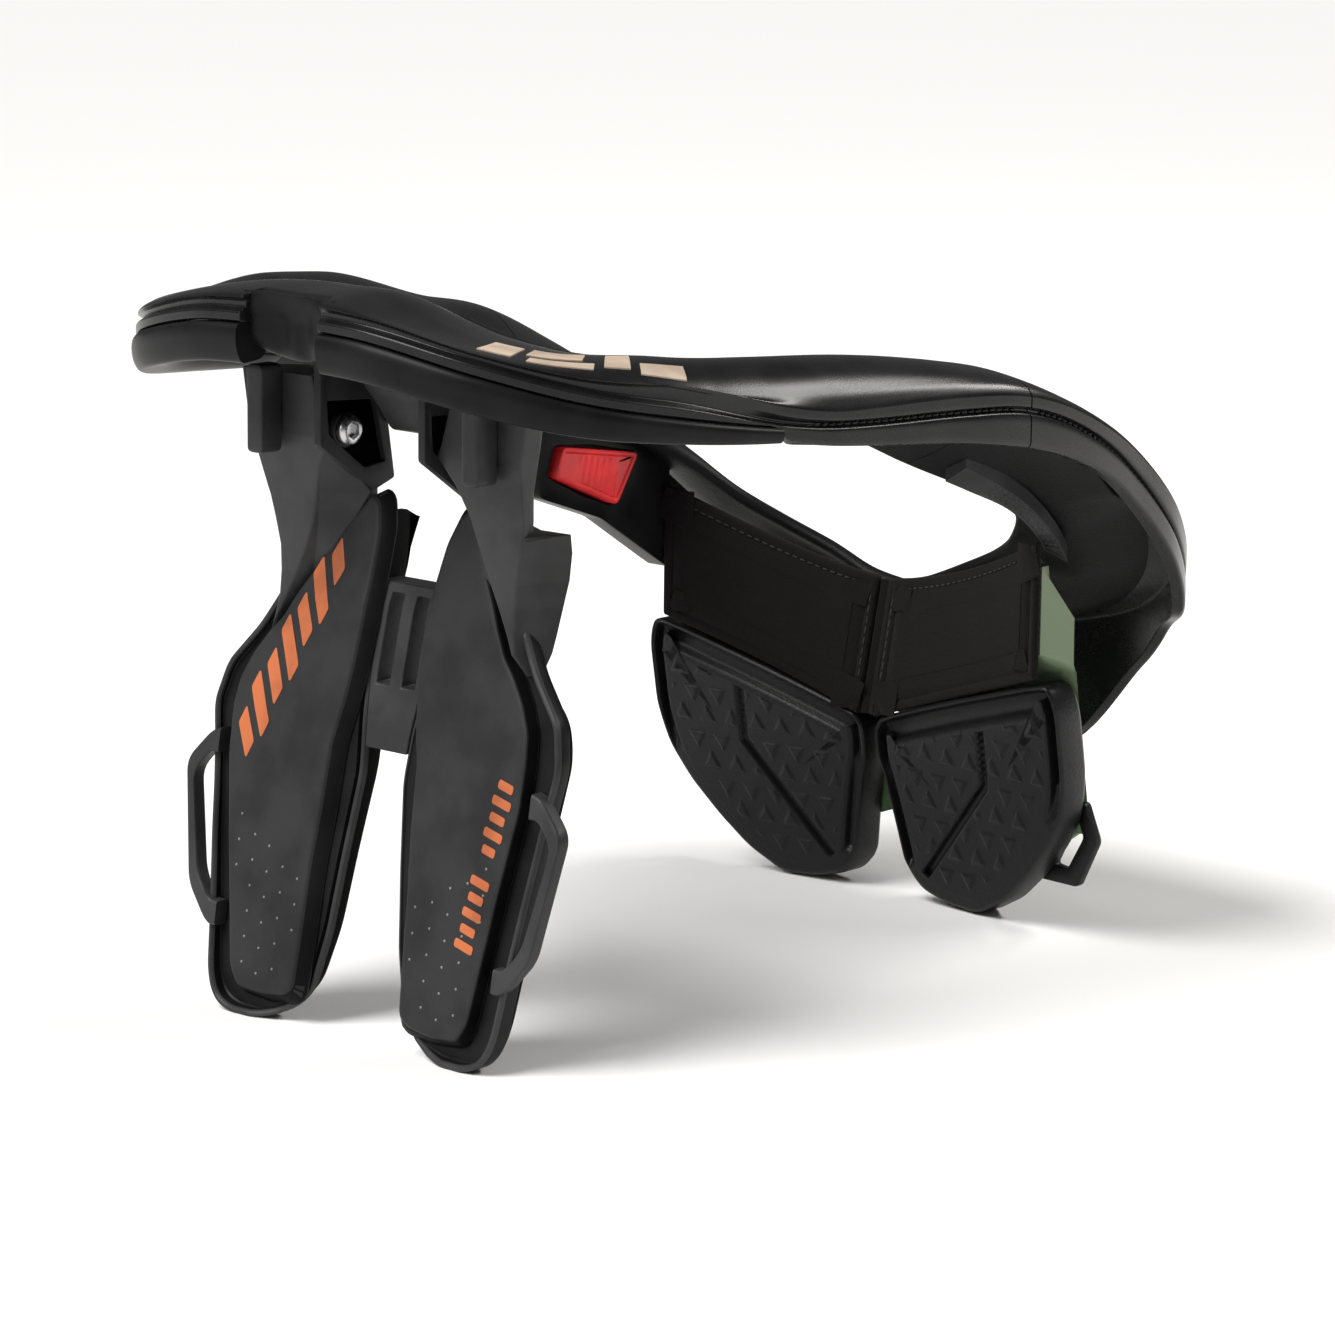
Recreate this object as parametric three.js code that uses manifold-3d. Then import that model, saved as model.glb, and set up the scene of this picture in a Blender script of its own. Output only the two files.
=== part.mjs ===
// Motocross neck brace: a dished collar of two halves on two rear struts and a padded chest piece.
// Millimetres. X points forward, Y to the wearer's left, Z up.
// Both struts and both chest pads stand on Z = 0.
import * as THREE from 'three';
import { mergeVertices } from 'three/addons/utils/BufferGeometryUtils.js';
import Module from 'manifold-3d';

const wasm = await Module();
wasm.setup();

// Collar
const collarLength = 344;
const collarWidth = 261;
const collarHeight = 238;
const rearEdge = -99;
const frameWall = 4.5;
const lipHeight = 8;
const tableShare = 0.72;
const shoulderShare = 0.4;
const benchShare = 0.55;
const splitAlong = 0.587;
const splitGap = 0.6;
const notchWidth = 32;
const notchDepth = 8;
const railDepth = 14;
const railRear = 12.5;
const railFront = 5;
const railEnd = -2;
// Rear struts; the horns end under the rear table of the collar
const strutHeight = 0.861 * collarHeight;
const strutLean = 74;
const strutSpan = 75.5;
const padThickness = 5;
const plateThickness = 3.5;
const rimWidth = 2;
const rimRise = 2.5;
const coverBevel = 2.2;
const foamThickness = 12;
const foamFoot = 5;
const clipWidth = 7;
const clipDepth = 9;
const clipHeight = 28;
const clipRise = 3;
const loopBar = 3.8;
const loopThickness = 5;
const loopReach = 10;
const loopTop = 84;
const loopBottom = 30;
const loopRoot = 4;
const bridgeTop = 141;
const bridgeBottom = 90;
const bridgeDepth = 4;
const slotWidth = 5.5;
const slotHeight = 28;
const screwHead = 9.5;
const screwDepth = 3;
const bracketThickness = 3;
const bracketPlace = 21;
const carrierHeight = 25;
// Chest piece, which hangs against the neck side of the collar's front
const linerThickness = 3;
const shellThickness = 3.5;
const petalThickness = 15;
const chestHeight = 0.592 * collarHeight;
const chestWidth = 166;
const chestSetback = 16;
const seamWidth = 6;
const foldHeight = 70;
const grooveWidth = 3.4;
const grooveDepth = 2.6;
const flankDepth = 14;
const flankSpread = 6;
const ledgeShare = 0.5;
const rampShare = 0.1;
// Latch and badge
const badgeThickness = 3;
const tabThickness = 6;
const tabClearance = 1;
const holderThickness = 9;
// Running clearance between neighbouring pieces
const gap = 0.3;

// Colours
const coat = (color, roughness, metalness = 0) => (
  new THREE.MeshStandardMaterial({ color, roughness, metalness }));
const satinShell = coat(0x1b1b1d, 0.35);
const mattPad = coat(0x222224, 0.7);
const strutPlastic = coat(0x252526, 0.5);
const foam = coat(0x161617, 0.9);
const greenShell = coat(0x8a9e80, 0.5);
const redTab = coat(0xd8202a, 0.45);
const steel = coat(0x9a9a9a, 0.3, 0.9);

const group = new THREE.Group();

// Closed skin through sections of equal point count, each a list of Vector3 in the same turning sense.
function loft(sections) {
  const count = sections[0].length;
  const positions = sections.flat().flatMap((p) => [p.x, p.y, p.z]);
  const index = [];
  for (let s = 0; s + 1 < sections.length; s += 1) {
    for (let i = 0; i < count; i += 1) {
      const a = s * count + i;
      const b = s * count + ((i + 1) % count);
      index.push(a, b, b + count, a, b + count, a + count);
    }
  }
  index.push(...capFaces(sections[0]).map(([a, b, c]) => [a, c, b]).flat());
  const last = (sections.length - 1) * count;
  index.push(...capFaces(sections.at(-1)).flat().map((i) => i + last));
  return faceOut(positions, index);
}

// Triangles of a nearly flat loop, turning the same way as the loop.
function capFaces(loop) {
  const normal = new THREE.Vector3();
  loop.forEach((p, i) => normal.add(p.clone().cross(loop[(i + 1) % loop.length])));
  normal.normalize();
  const across = loop[1].clone().sub(loop[0]).projectOnPlane(normal).normalize();
  const up = normal.clone().cross(across);
  return THREE.ShapeUtils.triangulateShape(loop.map((p) => new THREE.Vector2(p.dot(across), p.dot(up))), []);
}

// Geometry whose faces point out, whatever sense the sections turned in.
function faceOut(positions, index) {
  const corner = (i) => new THREE.Vector3().fromArray(positions, index[i] * 3);
  let volume = 0;
  for (let i = 0; i < index.length; i += 3) volume += corner(i).dot(corner(i + 1).cross(corner(i + 2)));
  if (volume < 0) {
    for (let i = 0; i < index.length; i += 3) [index[i], index[i + 1]] = [index[i + 1], index[i]];
  }
  const geometry = new THREE.BufferGeometry();
  geometry.setAttribute('position', new THREE.Float32BufferAttribute(positions, 3));
  geometry.setIndex(index);
  return geometry;
}

// Solid sheet between a surface and its copy moved by offset(u, v), over a grid of columns and rows.
function sheet(place, offset, columns, rows) {
  const sections = [];
  for (let i = 0; i <= columns; i += 1) {
    const u = i / columns;
    const near = Array.from({ length: rows + 1 }, (_, j) => place(u, j / rows));
    const far = near.map((p, j) => p.clone().add(offset(u, j / rows))).reverse();
    sections.push([...near, ...far]);
  }
  return loft(sections);
}

function toSolid(geometry) {
  const bare = new THREE.BufferGeometry();
  bare.setAttribute('position', geometry.getAttribute('position').clone());
  if (geometry.index) bare.setIndex(geometry.index.clone());
  const merged = mergeVertices(bare, 1e-4);
  return new wasm.Manifold(new wasm.Mesh({
    numProp: 3,
    vertProperties: Float32Array.from(merged.getAttribute('position').array),
    triVerts: Uint32Array.from(merged.index.array),
  }));
}

function toGeometry(solid) {
  const mesh = solid.getMesh();
  const geometry = new THREE.BufferGeometry();
  geometry.setAttribute('position', new THREE.Float32BufferAttribute(mesh.vertProperties, 3));
  geometry.setIndex(Array.from(mesh.triVerts));
  return geometry;
}

const join = (first, ...others) => toGeometry(others.reduce((s, g) => s.add(toSolid(g)), toSolid(first)));
const cut = (first, ...others) => toGeometry(others.reduce((s, g) => s.subtract(toSolid(g)), toSolid(first)));

function box(x, y, z) {
  const solid = new THREE.BoxGeometry(x[1] - x[0], y[1] - y[0], z[1] - z[0]);
  return solid.translate((x[0] + x[1]) / 2, (y[0] + y[1]) / 2, (z[0] + z[1]) / 2);
}

// Prism of an outline in the XZ or YZ plane between two places on the remaining axis.
function prism(outline, plane, from, to) {
  const place = { xz: (a, b, c) => [a, c, b], yz: (a, b, c) => [c, a, b] }[plane];
  return loft([from, to].map((c) => outline.map(([a, b]) => new THREE.Vector3(...place(a, b, c)))));
}

// Plate of an outline in Y and Z laid on the surface x(y, z), with its other face depth further forward.
function surfacePlate(outline, x, depth) {
  const rear = outline.map(([y, z]) => new THREE.Vector3(x(y, z), y, z));
  return loft([rear, rear.map((p) => p.clone().setX(p.x + depth))]);
}

// The wearer's right: the same geometry on the other side of the mid-plane.
function mirrored(geometry) {
  const copy = geometry.clone();
  const positions = Array.from(copy.getAttribute('position').array, (v, i) => (i % 3 === 1 ? -v : v));
  const corners = positions.length / 3;
  const index = copy.index ? Array.from(copy.index.array) : Array.from({ length: corners }, (_, i) => i);
  return faceOut(positions, index);
}

function add(name, geometry, material) {
  const mesh = new THREE.Mesh(geometry, material);
  mesh.name = name;
  group.add(mesh);
}

function addPair(name, geometry, material) {
  add(`${name}_left`, geometry, material);
  add(`${name}_right`, mirrored(geometry), material);
}

// Collar line, from the rear centre round the wearer's left to the front centre.
// along: share of the length from the rear edge; side: share of half the width.
// edge, crest, sill, lip: heights as shares of the collar height; inAlong, inSide: the neck side.
const collarTable = [
  [0.000, 0.00, 0.987, 1.000, 0.954, 0.899, 0.200, 0.00],
  [0.000, 0.13, 0.987, 1.000, 0.954, 0.899, 0.200, 0.10],
  [0.002, 0.31, 0.979, 0.992, 0.947, 0.895, 0.202, 0.21],
  [0.029, 0.55, 0.947, 0.970, 0.918, 0.887, 0.206, 0.345],
  [0.093, 0.73, 0.918, 0.952, 0.884, 0.874, 0.222, 0.46],
  [0.180, 0.835, 0.905, 0.938, 0.859, 0.857, 0.266, 0.53],
  [0.276, 0.89, 0.895, 0.929, 0.838, 0.840, 0.331, 0.567],
  [0.384, 0.935, 0.889, 0.914, 0.824, 0.815, 0.419, 0.582],
  [0.500, 0.973, 0.876, 0.890, 0.811, 0.765, 0.515, 0.582],
  [0.587, 0.996, 0.851, 0.866, 0.790, 0.722, 0.587, 0.582],
  [0.674, 0.996, 0.805, 0.815, 0.740, 0.683, 0.660, 0.582],
  [0.762, 0.973, 0.742, 0.748, 0.664, 0.650, 0.730, 0.575],
  [0.856, 0.93, 0.641, 0.647, 0.555, 0.604, 0.788, 0.544],
  [0.924, 0.825, 0.545, 0.553, 0.452, 0.553, 0.823, 0.46],
  [0.966, 0.645, 0.475, 0.483, 0.335, 0.517, 0.846, 0.353],
  [0.988, 0.39, 0.433, 0.441, 0.24, 0.483, 0.860, 0.215],
  [0.997, 0.169, 0.412, 0.420, 0.223, 0.454, 0.8612, 0.092],
  [1.000, 0.00, 0.408, 0.416, 0.214, 0.441, 0.8663, 0.00],
];
const collarRows = collarTable.map(([along, side, edge, crest, sill, lip, inAlong, inSide]) => (
  { along, side, edge, crest, sill, lip, inAlong, inSide }));

// Smooth lines through the rows: the outer edge, the heights over it, and the neck side.
const collarX = (along) => rearEdge + along * collarLength;
const collarY = (side) => (side * collarWidth) / 2;
const otherSide = (row) => ({ ...row, side: -row.side, inSide: -row.inSide });
const wholeRing = [...collarRows.slice(1).reverse().map(otherSide), ...collarRows];
const edgePoint = (row) => new THREE.Vector3(collarX(row.along), collarY(row.side), row.edge * collarHeight);
const outerLine = new THREE.CatmullRomCurve3(wholeRing.map(edgePoint), false, 'centripetal');
const ringSteps = wholeRing.length - 1;
const interpolate = (key, t) => {
  const place = Math.min(t * ringSteps, ringSteps - 1e-9);
  const row = Math.floor(place);
  const value = (i) => wholeRing[Math.min(Math.max(i, 0), ringSteps)][key];
  const f = place - row;
  const [a, b, c, d] = [value(row - 1), value(row), value(row + 1), value(row + 2)];
  return b + 0.5 * f * (c - a + f * (2 * a - 5 * b + 4 * c - d + f * (3 * (b - c) + d - a)));
};

// Everything a cross-section of the collar needs at one place round the ring, 0 and 1 being the front centre.
function collarStation(t) {
  const edge = outerLine.getPoint(t);
  const inner = new THREE.Vector3(collarX(interpolate('inAlong', t)), collarY(interpolate('inSide', t)), 0);
  const height = (key) => interpolate(key, t) * collarHeight;
  const span = Math.hypot(inner.x - edge.x, inner.y - edge.y);
  const inward = new THREE.Vector3((inner.x - edge.x) / span, (inner.y - edge.y) / span, 0);
  const at = (depth, z) => new THREE.Vector3(edge.x + inward.x * depth, edge.y + inward.y * depth, z);
  return { at, span, edge: edge.z, crest: height('crest'), sill: height('sill'), lip: height('lip') };
}

const fade = (from, to, share) => from + (to - from) * share;

// Hard shell: outer wall with a groove, rounded shoulder, and the table down to tableShare of the span.
function frameSection(t) {
  const s = collarStation(t);
  const lipTop = s.lip + lipHeight;
  const brink = tableShare * s.span;
  const shoulder = shoulderShare * s.span;
  const bench = benchShare * s.span;
  const benchZ = fade(s.crest, lipTop, 0.12);
  const brinkZ = fade(s.crest, lipTop, 0.42);
  const wall = (share) => fade(s.sill, s.edge, share);
  const rise = (share) => fade(s.edge, s.crest, share);
  const outside = [s.at(0, s.sill), s.at(-0.6, wall(0.3)), s.at(0.9, wall(0.38)), s.at(-0.8, wall(0.48)),
    s.at(0, s.edge), s.at(0.2 * shoulder, rise(0.4)), s.at(0.5 * shoulder, rise(0.8)),
    s.at(shoulder, s.crest), s.at(bench, benchZ), s.at(brink, brinkZ)];
  const inside = [s.at(brink, brinkZ - frameWall), s.at(bench, benchZ - frameWall),
    s.at(shoulder, s.crest - frameWall), s.at(0.5 * shoulder + 1, rise(0.7) - frameWall),
    s.at(frameWall, s.edge - frameWall), s.at(frameWall, s.sill)];
  return [...outside, ...inside];
}

// Soft inner pad: fills the shell and slopes down to the lip at the neck.
function padSection(t, edgeDepth) {
  const s = collarStation(t);
  const lipTop = s.lip + lipHeight;
  const brink = tableShare * s.span;
  const shoulder = shoulderShare * s.span;
  const bench = benchShare * s.span;
  const benchZ = fade(s.crest, lipTop, 0.12);
  const brinkZ = fade(s.crest, lipTop, 0.42);
  const under = frameWall + gap;
  const start = Math.max(edgeDepth, 0.5 * shoulder + 1) + gap;
  const startZ = fade(s.edge, s.crest, 0.7) - under;
  const floorZ = Math.max(s.sill + 2, s.lip + 2);
  const underCrest = s.at(Math.max(shoulder, start + 1), s.crest - under - 0.5);
  const underBench = s.at(Math.max(bench, start + 2), benchZ - under - 0.2);
  const belly = s.at(fade(start, s.span, 0.6), fade(Math.min(startZ - 3, s.sill + 1), s.lip, 0.75));
  return [
    s.at(start, Math.min(startZ, floorZ + 4)), s.at(start, startZ), underCrest, underBench,
    s.at(brink + gap, brinkZ - under - 0.2), s.at(brink + gap, brinkZ),
    s.at(s.span - 3, fade(brinkZ, lipTop, 0.93)), s.at(s.span, lipTop - 2), s.at(s.span, s.lip + 2),
    s.at(s.span - 3, s.lip), belly,
  ];
}

function ringShare(x) {
  let low = 0;
  let high = 0.5;
  for (let i = 0; i < 40; i += 1) {
    const middle = (low + high) / 2;
    if (outerLine.getPoint(1 - middle).x > x) low = middle;
    else high = middle;
  }
  return low;
}

const steps = (from, to, count) => Array.from({ length: count + 1 }, (_, i) => fade(from, to, i / count));

// The rear half runs through the middle of the ring's share, the front half through its two ends.
const splitPlace = collarX(splitAlong);
const rearShare = ringShare(splitPlace - splitGap / 2);
const frontShare = ringShare(splitPlace + splitGap / 2);
const rearShares = steps(rearShare, 1 - rearShare, 46);
const frontShares = [...steps(frontShare, 0, 18), ...steps(1, 1 - frontShare, 18).slice(1)];
const notch = box([rearEdge - 5, rearEdge + notchDepth], [-notchWidth / 2, notchWidth / 2],
  [0.9 * collarHeight, collarHeight + 5]);

add('rear_collar_frame', cut(loft(rearShares.map(frameSection)), notch), satinShell);
add('front_collar_frame', loft(frontShares.map(frameSection)), satinShell);

// The pad keeps behind the rail where there is one.
const padEdge = (t) => {
  const beyond = outerLine.getPoint(t).x - railEnd;
  return fade(railDepth, frameWall, THREE.MathUtils.clamp((beyond - 4) / 20, 0, 1));
};
add('rear_collar_pad', loft(rearShares.map((t) => padSection(t, padEdge(t)))), mattPad);
const frontPad = loft(frontShares.map((t) => padSection(t, frameWall)));
add('front_collar_pad', frontPad, mattPad);

// Rail under the outer wall, from the notch to the middle of each side.
function railSection(t) {
  const s = collarStation(t);
  const along = (s.at(0, 0).x - rearEdge) / (railEnd - rearEdge);
  const height = fade(railRear, railFront, THREE.MathUtils.clamp(along, 0, 1));
  const top = s.sill - gap;
  return [s.at(-1, top), s.at(-1.6, top - 0.35 * height), s.at(0.5, top - height),
    s.at(railDepth - 4, top - height + 1), s.at(railDepth, top)];
}
// The rail starts at the collar row beside the notch.
const notchShare = (collarRows.length) / ringSteps;
const railShares = steps(notchShare, 1 - ringShare(railEnd), 16);
addPair('collar_rail', loft(railShares.map(railSection)), satinShell);

// Struts: the rear face leans forward towards the top. up: share of the strut height; back: of the lean.
const leanRows = [
  [0, 1], [0.068, 0.972], [0.27, 0.885], [0.473, 0.785], [0.65, 0.67], [0.81, 0.514], [1, 0.35]];
function lean(z) {
  const up = z / strutHeight;
  const i = Math.min(Math.max(leanRows.findIndex((r) => r[0] > up), 1), leanRows.length - 1);
  const [[z0, b0], [z1, b1]] = [leanRows[i - 1], leanRows[i]];
  return -strutLean * fade(b0, b1, (up - z0) / (z1 - z0));
}
// up: share of the strut height; inner, outer: shares of the strut span.
// The cover breaks at the plate's own heights, so that it keeps inside the rim, and passes beside the horn.
const coverRows = [
  [0.031, 0.56, 0.60], [0.036, 0.47, 0.68], [0.06, 0.385, 0.735], [0.10, 0.31, 0.785], [0.15, 0.295, 0.80],
  [0.21, 0.275, 0.82], [0.40, 0.215, 0.868], [0.465, 0.18, 0.868], [0.53, 0.19, 0.80], [0.56, 0.192, 0.72],
  [0.575, 0.195, 0.54], [0.595, 0.205, 0.46], [0.61, 0.21, 0.39], [0.69, 0.24, 0.315], [0.74, 0.262, 0.31],
  [0.80, 0.29, 0.30]];
const plateRows = [
  [0.0, 0.53, 0.68], [0.01, 0.43, 0.76], [0.03, 0.33, 0.81], [0.06, 0.26, 0.84], [0.15, 0.20, 0.87],
  [0.40, 0.115, 0.967], [0.465, 0.13, 1.0], [0.53, 0.15, 0.955], [0.595, 0.165, 0.80], [0.69, 0.20, 0.64],
  [0.80, 0.25, 0.50]];
const inMillimetres = ([up, inner, outer]) => [up * strutHeight, inner * strutSpan, outer * strutSpan];

// Plate: a shallow tray, open to the rear, with a thin rim.
function traySection(z, inner, outer, grow) {
  const x = lean(z) + padThickness + gap - grow;
  const wall = Math.min(rimWidth, (outer - inner) / 4) + grow;
  const rise = fade(padThickness - 0.5, rimRise, Math.min(z / foldHeight, 1));
  const at = (y, dx) => new THREE.Vector3(x + dx, y, z);
  return [at(inner, -rise), at(inner + wall, -rise), at(inner + wall, 0), at(outer - wall, 0),
    at(outer - wall, -rise), at(outer, -rise), at(outer, plateThickness), at(inner, plateThickness)];
}
const trayLoft = (grow) => loft(plateRows.map((row) => traySection(...inMillimetres(row), grow)));

// Pad over the tray, with bevelled edges.
function coverSection(z, inner, outer) {
  const x = lean(z);
  const bevel = Math.min(coverBevel, (outer - inner) / 4);
  const at = (y, dx) => new THREE.Vector3(x + dx, y, z);
  const clear = rimWidth + 2 * gap;
  return [at(inner + clear, padThickness), at(inner + clear, bevel), at(inner + clear + bevel, 0),
    at(outer - clear - bevel, 0), at(outer - clear, bevel), at(outer - clear, padThickness)];
}
// Horn: from the plate up to the collar. up: share of the height; then six corners [back, side] as shares
// of the lean and of the span: rear outer, rear inner, bevel, front inner, front middle, front outer.
const hornRows = [
  [1.0, [0.75, 0.82], [0.75, 0.57], [0.71, 0.57], [0.51, 0.57], [0.51, 0.66], [0.64, 0.82]],
  [0.912, [0.75, 0.755], [0.75, 0.565], [0.72, 0.56], [0.51, 0.56], [0.51, 0.66], [0.625, 0.755]],
  [0.893, [0.75, 0.73], [0.75, 0.40], [0.71, 0.34], [0.53, 0.34], [0.51, 0.56], [0.61, 0.73]],
  [0.845, [0.75, 0.68], [0.75, 0.40], [0.63, 0.325], [0.46, 0.325], [0.46, 0.56], [0.60, 0.69]],
  [0.805, [0.75, 0.66], [0.75, 0.41], [0.56, 0.325], [0.43, 0.325], [0.43, 0.56], [0.58, 0.68]],
  [0.795, [0.75, 0.66], [0.75, 0.415], [0.555, 0.325], [0.43, 0.325], [0.40, 0.56], [0.39, 0.74]],
  [0.735, [0.75, 0.64], [0.75, 0.44], [0.60, 0.36], [0.48, 0.33], [0.43, 0.54], [0.40, 0.755]],
  [0.67, [0.765, 0.62], [0.765, 0.48], [0.66, 0.41], [0.58, 0.34], [0.51, 0.50], [0.47, 0.755]],
  [0.61, [0.78, 0.635], [0.78, 0.56], [0.70, 0.51], [0.63, 0.41], [0.58, 0.53], [0.53, 0.77]],
  [0.57, [0.79, 0.68], [0.79, 0.65], [0.73, 0.62], [0.68, 0.58], [0.65, 0.63], [0.62, 0.77]]];
function hornLoft(grow) {
  return loft(hornRows.map(([up, ...corners]) => {
    const centre = corners.reduce((c, [b, y]) => [c[0] + b / 6, c[1] + y / 6], [0, 0]);
    return corners.map(([back, side]) => {
      const x = -strutLean * back - grow * Math.sign(back - centre[0]);
      const y = strutSpan * side + grow * Math.sign(side - centre[1]);
      return new THREE.Vector3(x, y, strutHeight * up);
    });
  }));
}

// Strap loop: a bent bar outside the plate, let into it by loopRoot.
function strapLoop() {
  const rootTop = 0.955 * strutSpan;
  const rootBottom = 0.86 * strutSpan;
  const reachTop = rootTop + loopReach;
  const reachBottom = rootBottom + loopReach;
  const slope = 0.75 * loopReach;
  const outline = [[rootTop - loopRoot, loopTop + 4], [rootTop, loopTop + 3], [reachTop, loopTop - slope],
    [reachBottom, loopBottom + slope], [rootBottom, loopBottom - 4], [rootBottom - loopRoot, loopBottom - 4]];
  const inside = [[rootTop - loopRoot, loopTop - loopBar], [rootTop, loopTop - loopBar],
    [reachTop - loopBar, loopTop - slope - loopBar], [reachBottom - loopBar, loopBottom + slope + loopBar],
    [rootBottom, loopBottom + loopBar], [rootBottom - loopRoot, loopBottom + loopBar]];
  const rear = (y, z) => lean(z) + padThickness - 2 * rimRise;
  return surfacePlate([...outline, ...inside.reverse()], rear, loopThickness);
}

const arm = join(trayLoft(0), hornLoft(0), strapLoop());
addPair('strut_arm', arm, strutPlastic);
addPair('strut_cover', loft(coverRows.map((row) => coverSection(...inMillimetres(row)))), strutPlastic);

// Clip: the fin on the rear of each horn.
const clipSide = hornRows[0][2][1] * strutSpan;
const clipFront = -hornRows[0][2][0] * strutLean - gap;
const clipTop = strutHeight + clipRise;
const clip = box([clipFront - clipDepth, clipFront], [clipSide, clipSide + clipWidth],
  [clipTop - clipHeight, clipTop]);
addPair('strut_clip', clip, strutPlastic);

// Places in a strut's side view, given as shares of its lean and of its height.
const inSideView = ([back, up]) => [-strutLean * back, strutHeight * up];

// Bracket with a window on the neck side of each horn, and the screw through it.
const bracketOutline = [[0.784, 0.995], [0.473, 0.995], [0.365, 0.834], [0.5, 0.815], [0.784, 0.922]];
const bracketWindow = [[0.588, 0.961], [0.453, 0.961], [0.405, 0.863], [0.486, 0.854], [0.588, 0.883]];
const screwPlace = inSideView([0.669, 0.92]);
const bracketBack = bracketPlace + bracketThickness;
const bracket = cut(prism(bracketOutline.map(inSideView), 'xz', bracketPlace, bracketBack),
  prism(bracketWindow.map(inSideView), 'xz', bracketPlace - 1, bracketBack + 1));
addPair('strut_bracket', bracket, strutPlastic);
const screw = new THREE.CylinderGeometry(screwHead / 2, screwHead / 2, screwDepth, 20);
const socket = new THREE.CylinderGeometry(screwHead / 4, screwHead / 4, screwDepth, 6);
const placedScrew = cut(screw, socket.translate(0, screwDepth / 2, 0)).rotateX(Math.PI);
placedScrew.translate(screwPlace[0], bracketPlace - gap - screwDepth / 2, screwPlace[1]);
addPair('strut_screw', placedScrew, steel);

// Carrier block under the rear table, between the brackets: [share of the lean, share of its height].
const carrierTop = collarRows[0].lip * collarHeight - 2 * gap;
const carrierHalf = bracketPlace - gap;
const carrierRows = [[0.54, 0], [0.62, 0.33], [0.716, 0.65], [0.716, 1], [0.42, 1], [0.27, 0.76], [0.27, 0]];
const carrierOutline = carrierRows.map(([back, up]) => (
  [-strutLean * back, carrierTop - (1 - up) * carrierHeight]));
add('strut_carrier', prism(carrierOutline, 'xz', -carrierHalf, carrierHalf), strutPlastic);

// Bridge between the two plates, with two slots.
const plateInner = (z) => {
  const up = z / strutHeight;
  const i = plateRows.findIndex((r) => r[0] > up);
  return strutSpan * fade(plateRows[i - 1][1], plateRows[i][1],
    (up - plateRows[i - 1][0]) / (plateRows[i][0] - plateRows[i - 1][0]));
};
const bridgeSections = steps(bridgeBottom, bridgeTop, 6).map((z) => {
  const half = plateInner(z) - gap;
  const x = lean(z) + padThickness + 2 * gap;
  const corners = [[x, -half], [x, half], [x + bridgeDepth, half], [x + bridgeDepth, -half]];
  return corners.map(([a, b]) => new THREE.Vector3(a, b, z));
});
const slotBottom = 0.5 * (bridgeTop + bridgeBottom) - 0.2 * slotHeight;
const slots = [-slotWidth, slotWidth].map((middle) => box([-strutLean, 0],
  [middle - slotWidth / 2, middle + slotWidth / 2], [slotBottom, slotBottom + slotHeight]));
add('strut_bridge', cut(loft(bridgeSections), ...slots), strutPlastic);

// Foam on the wearer's side of each strut.
const foamRows = [
  [0.01, 0.50, 0.69], [0.02, 0.40, 0.76], [0.06, 0.29, 0.80], [0.15, 0.22, 0.83], [0.40, 0.14, 0.91],
  [0.465, 0.15, 0.93], [0.52, 0.17, 0.88], [0.555, 0.185, 0.78]];
const foamUpper = [[0.56, 0.185, 0.335], [0.62, 0.19, 0.32], [0.70, 0.20, 0.31], [0.76, 0.24, 0.305],
  [0.785, 0.27, 0.30]];
function foamSection(z, inner, outer) {
  const x = lean(z) + padThickness + 2 * gap + plateThickness;
  const depth = fade(foamFoot, foamThickness, z / (0.8 * strutHeight));
  const bevel = Math.min(depth / 3, (outer - inner) / 4);
  const at = (y, dx) => new THREE.Vector3(x + dx, y, z);
  return [at(inner, 0), at(outer, 0), at(outer, depth - bevel), at(outer - bevel, depth),
    at(inner + bevel, depth), at(inner, depth - bevel)];
}
const backRows = [...foamRows, ...foamUpper];
addPair('back_pad', loft(backRows.map((row) => foamSection(...inMillimetres(row)))), foam);

// Chest piece: liner, petals and shell follow two surfaces that meet at the fold.
const chestHalf = chestWidth / 2;
const chestPlace = collarX(collarRows.at(-1).inAlong) - chestSetback;
const linerX = (y, z) => {
  const middle = 1 - (Math.abs(y) / chestHalf) ** 1.3;
  return chestPlace - 14 + middle * (14 + 0.22 * (z - foldHeight));
};
const petalX = (y, z) => chestPlace - 1 - 0.1 * Math.abs(y) + 0.18 * (foldHeight - z);
const petalTopZ = (y) => foldHeight - 6 + (29 * Math.abs(y)) / (1.05 * chestHalf);
const linerTopZ = (y) => chestHeight - 28 + 26 * (Math.abs(y) / chestHalf) ** 1.5;
const seamHalf = seamWidth / 2;

function linerPlace(u, v) {
  const y = fade(seamHalf + gap, chestHalf, u);
  const z = fade(petalTopZ(y) + gap, linerTopZ(y), v);
  return new THREE.Vector3(linerX(y, z), y, z);
}
addPair('chest_liner', sheet(linerPlace, () => new THREE.Vector3(linerThickness, 0, 0), 12, 6), foam);

function seamPlace(u, v) {
  const z = fade(petalTopZ(0) + 2, linerTopZ(0) - 1, v);
  return new THREE.Vector3(linerX(0, z) + 1, fade(-seamHalf, seamHalf, u), z);
}
add('chest_seam', sheet(seamPlace, () => new THREE.Vector3(linerThickness, 0, 0), 2, 6), foam);

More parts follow.
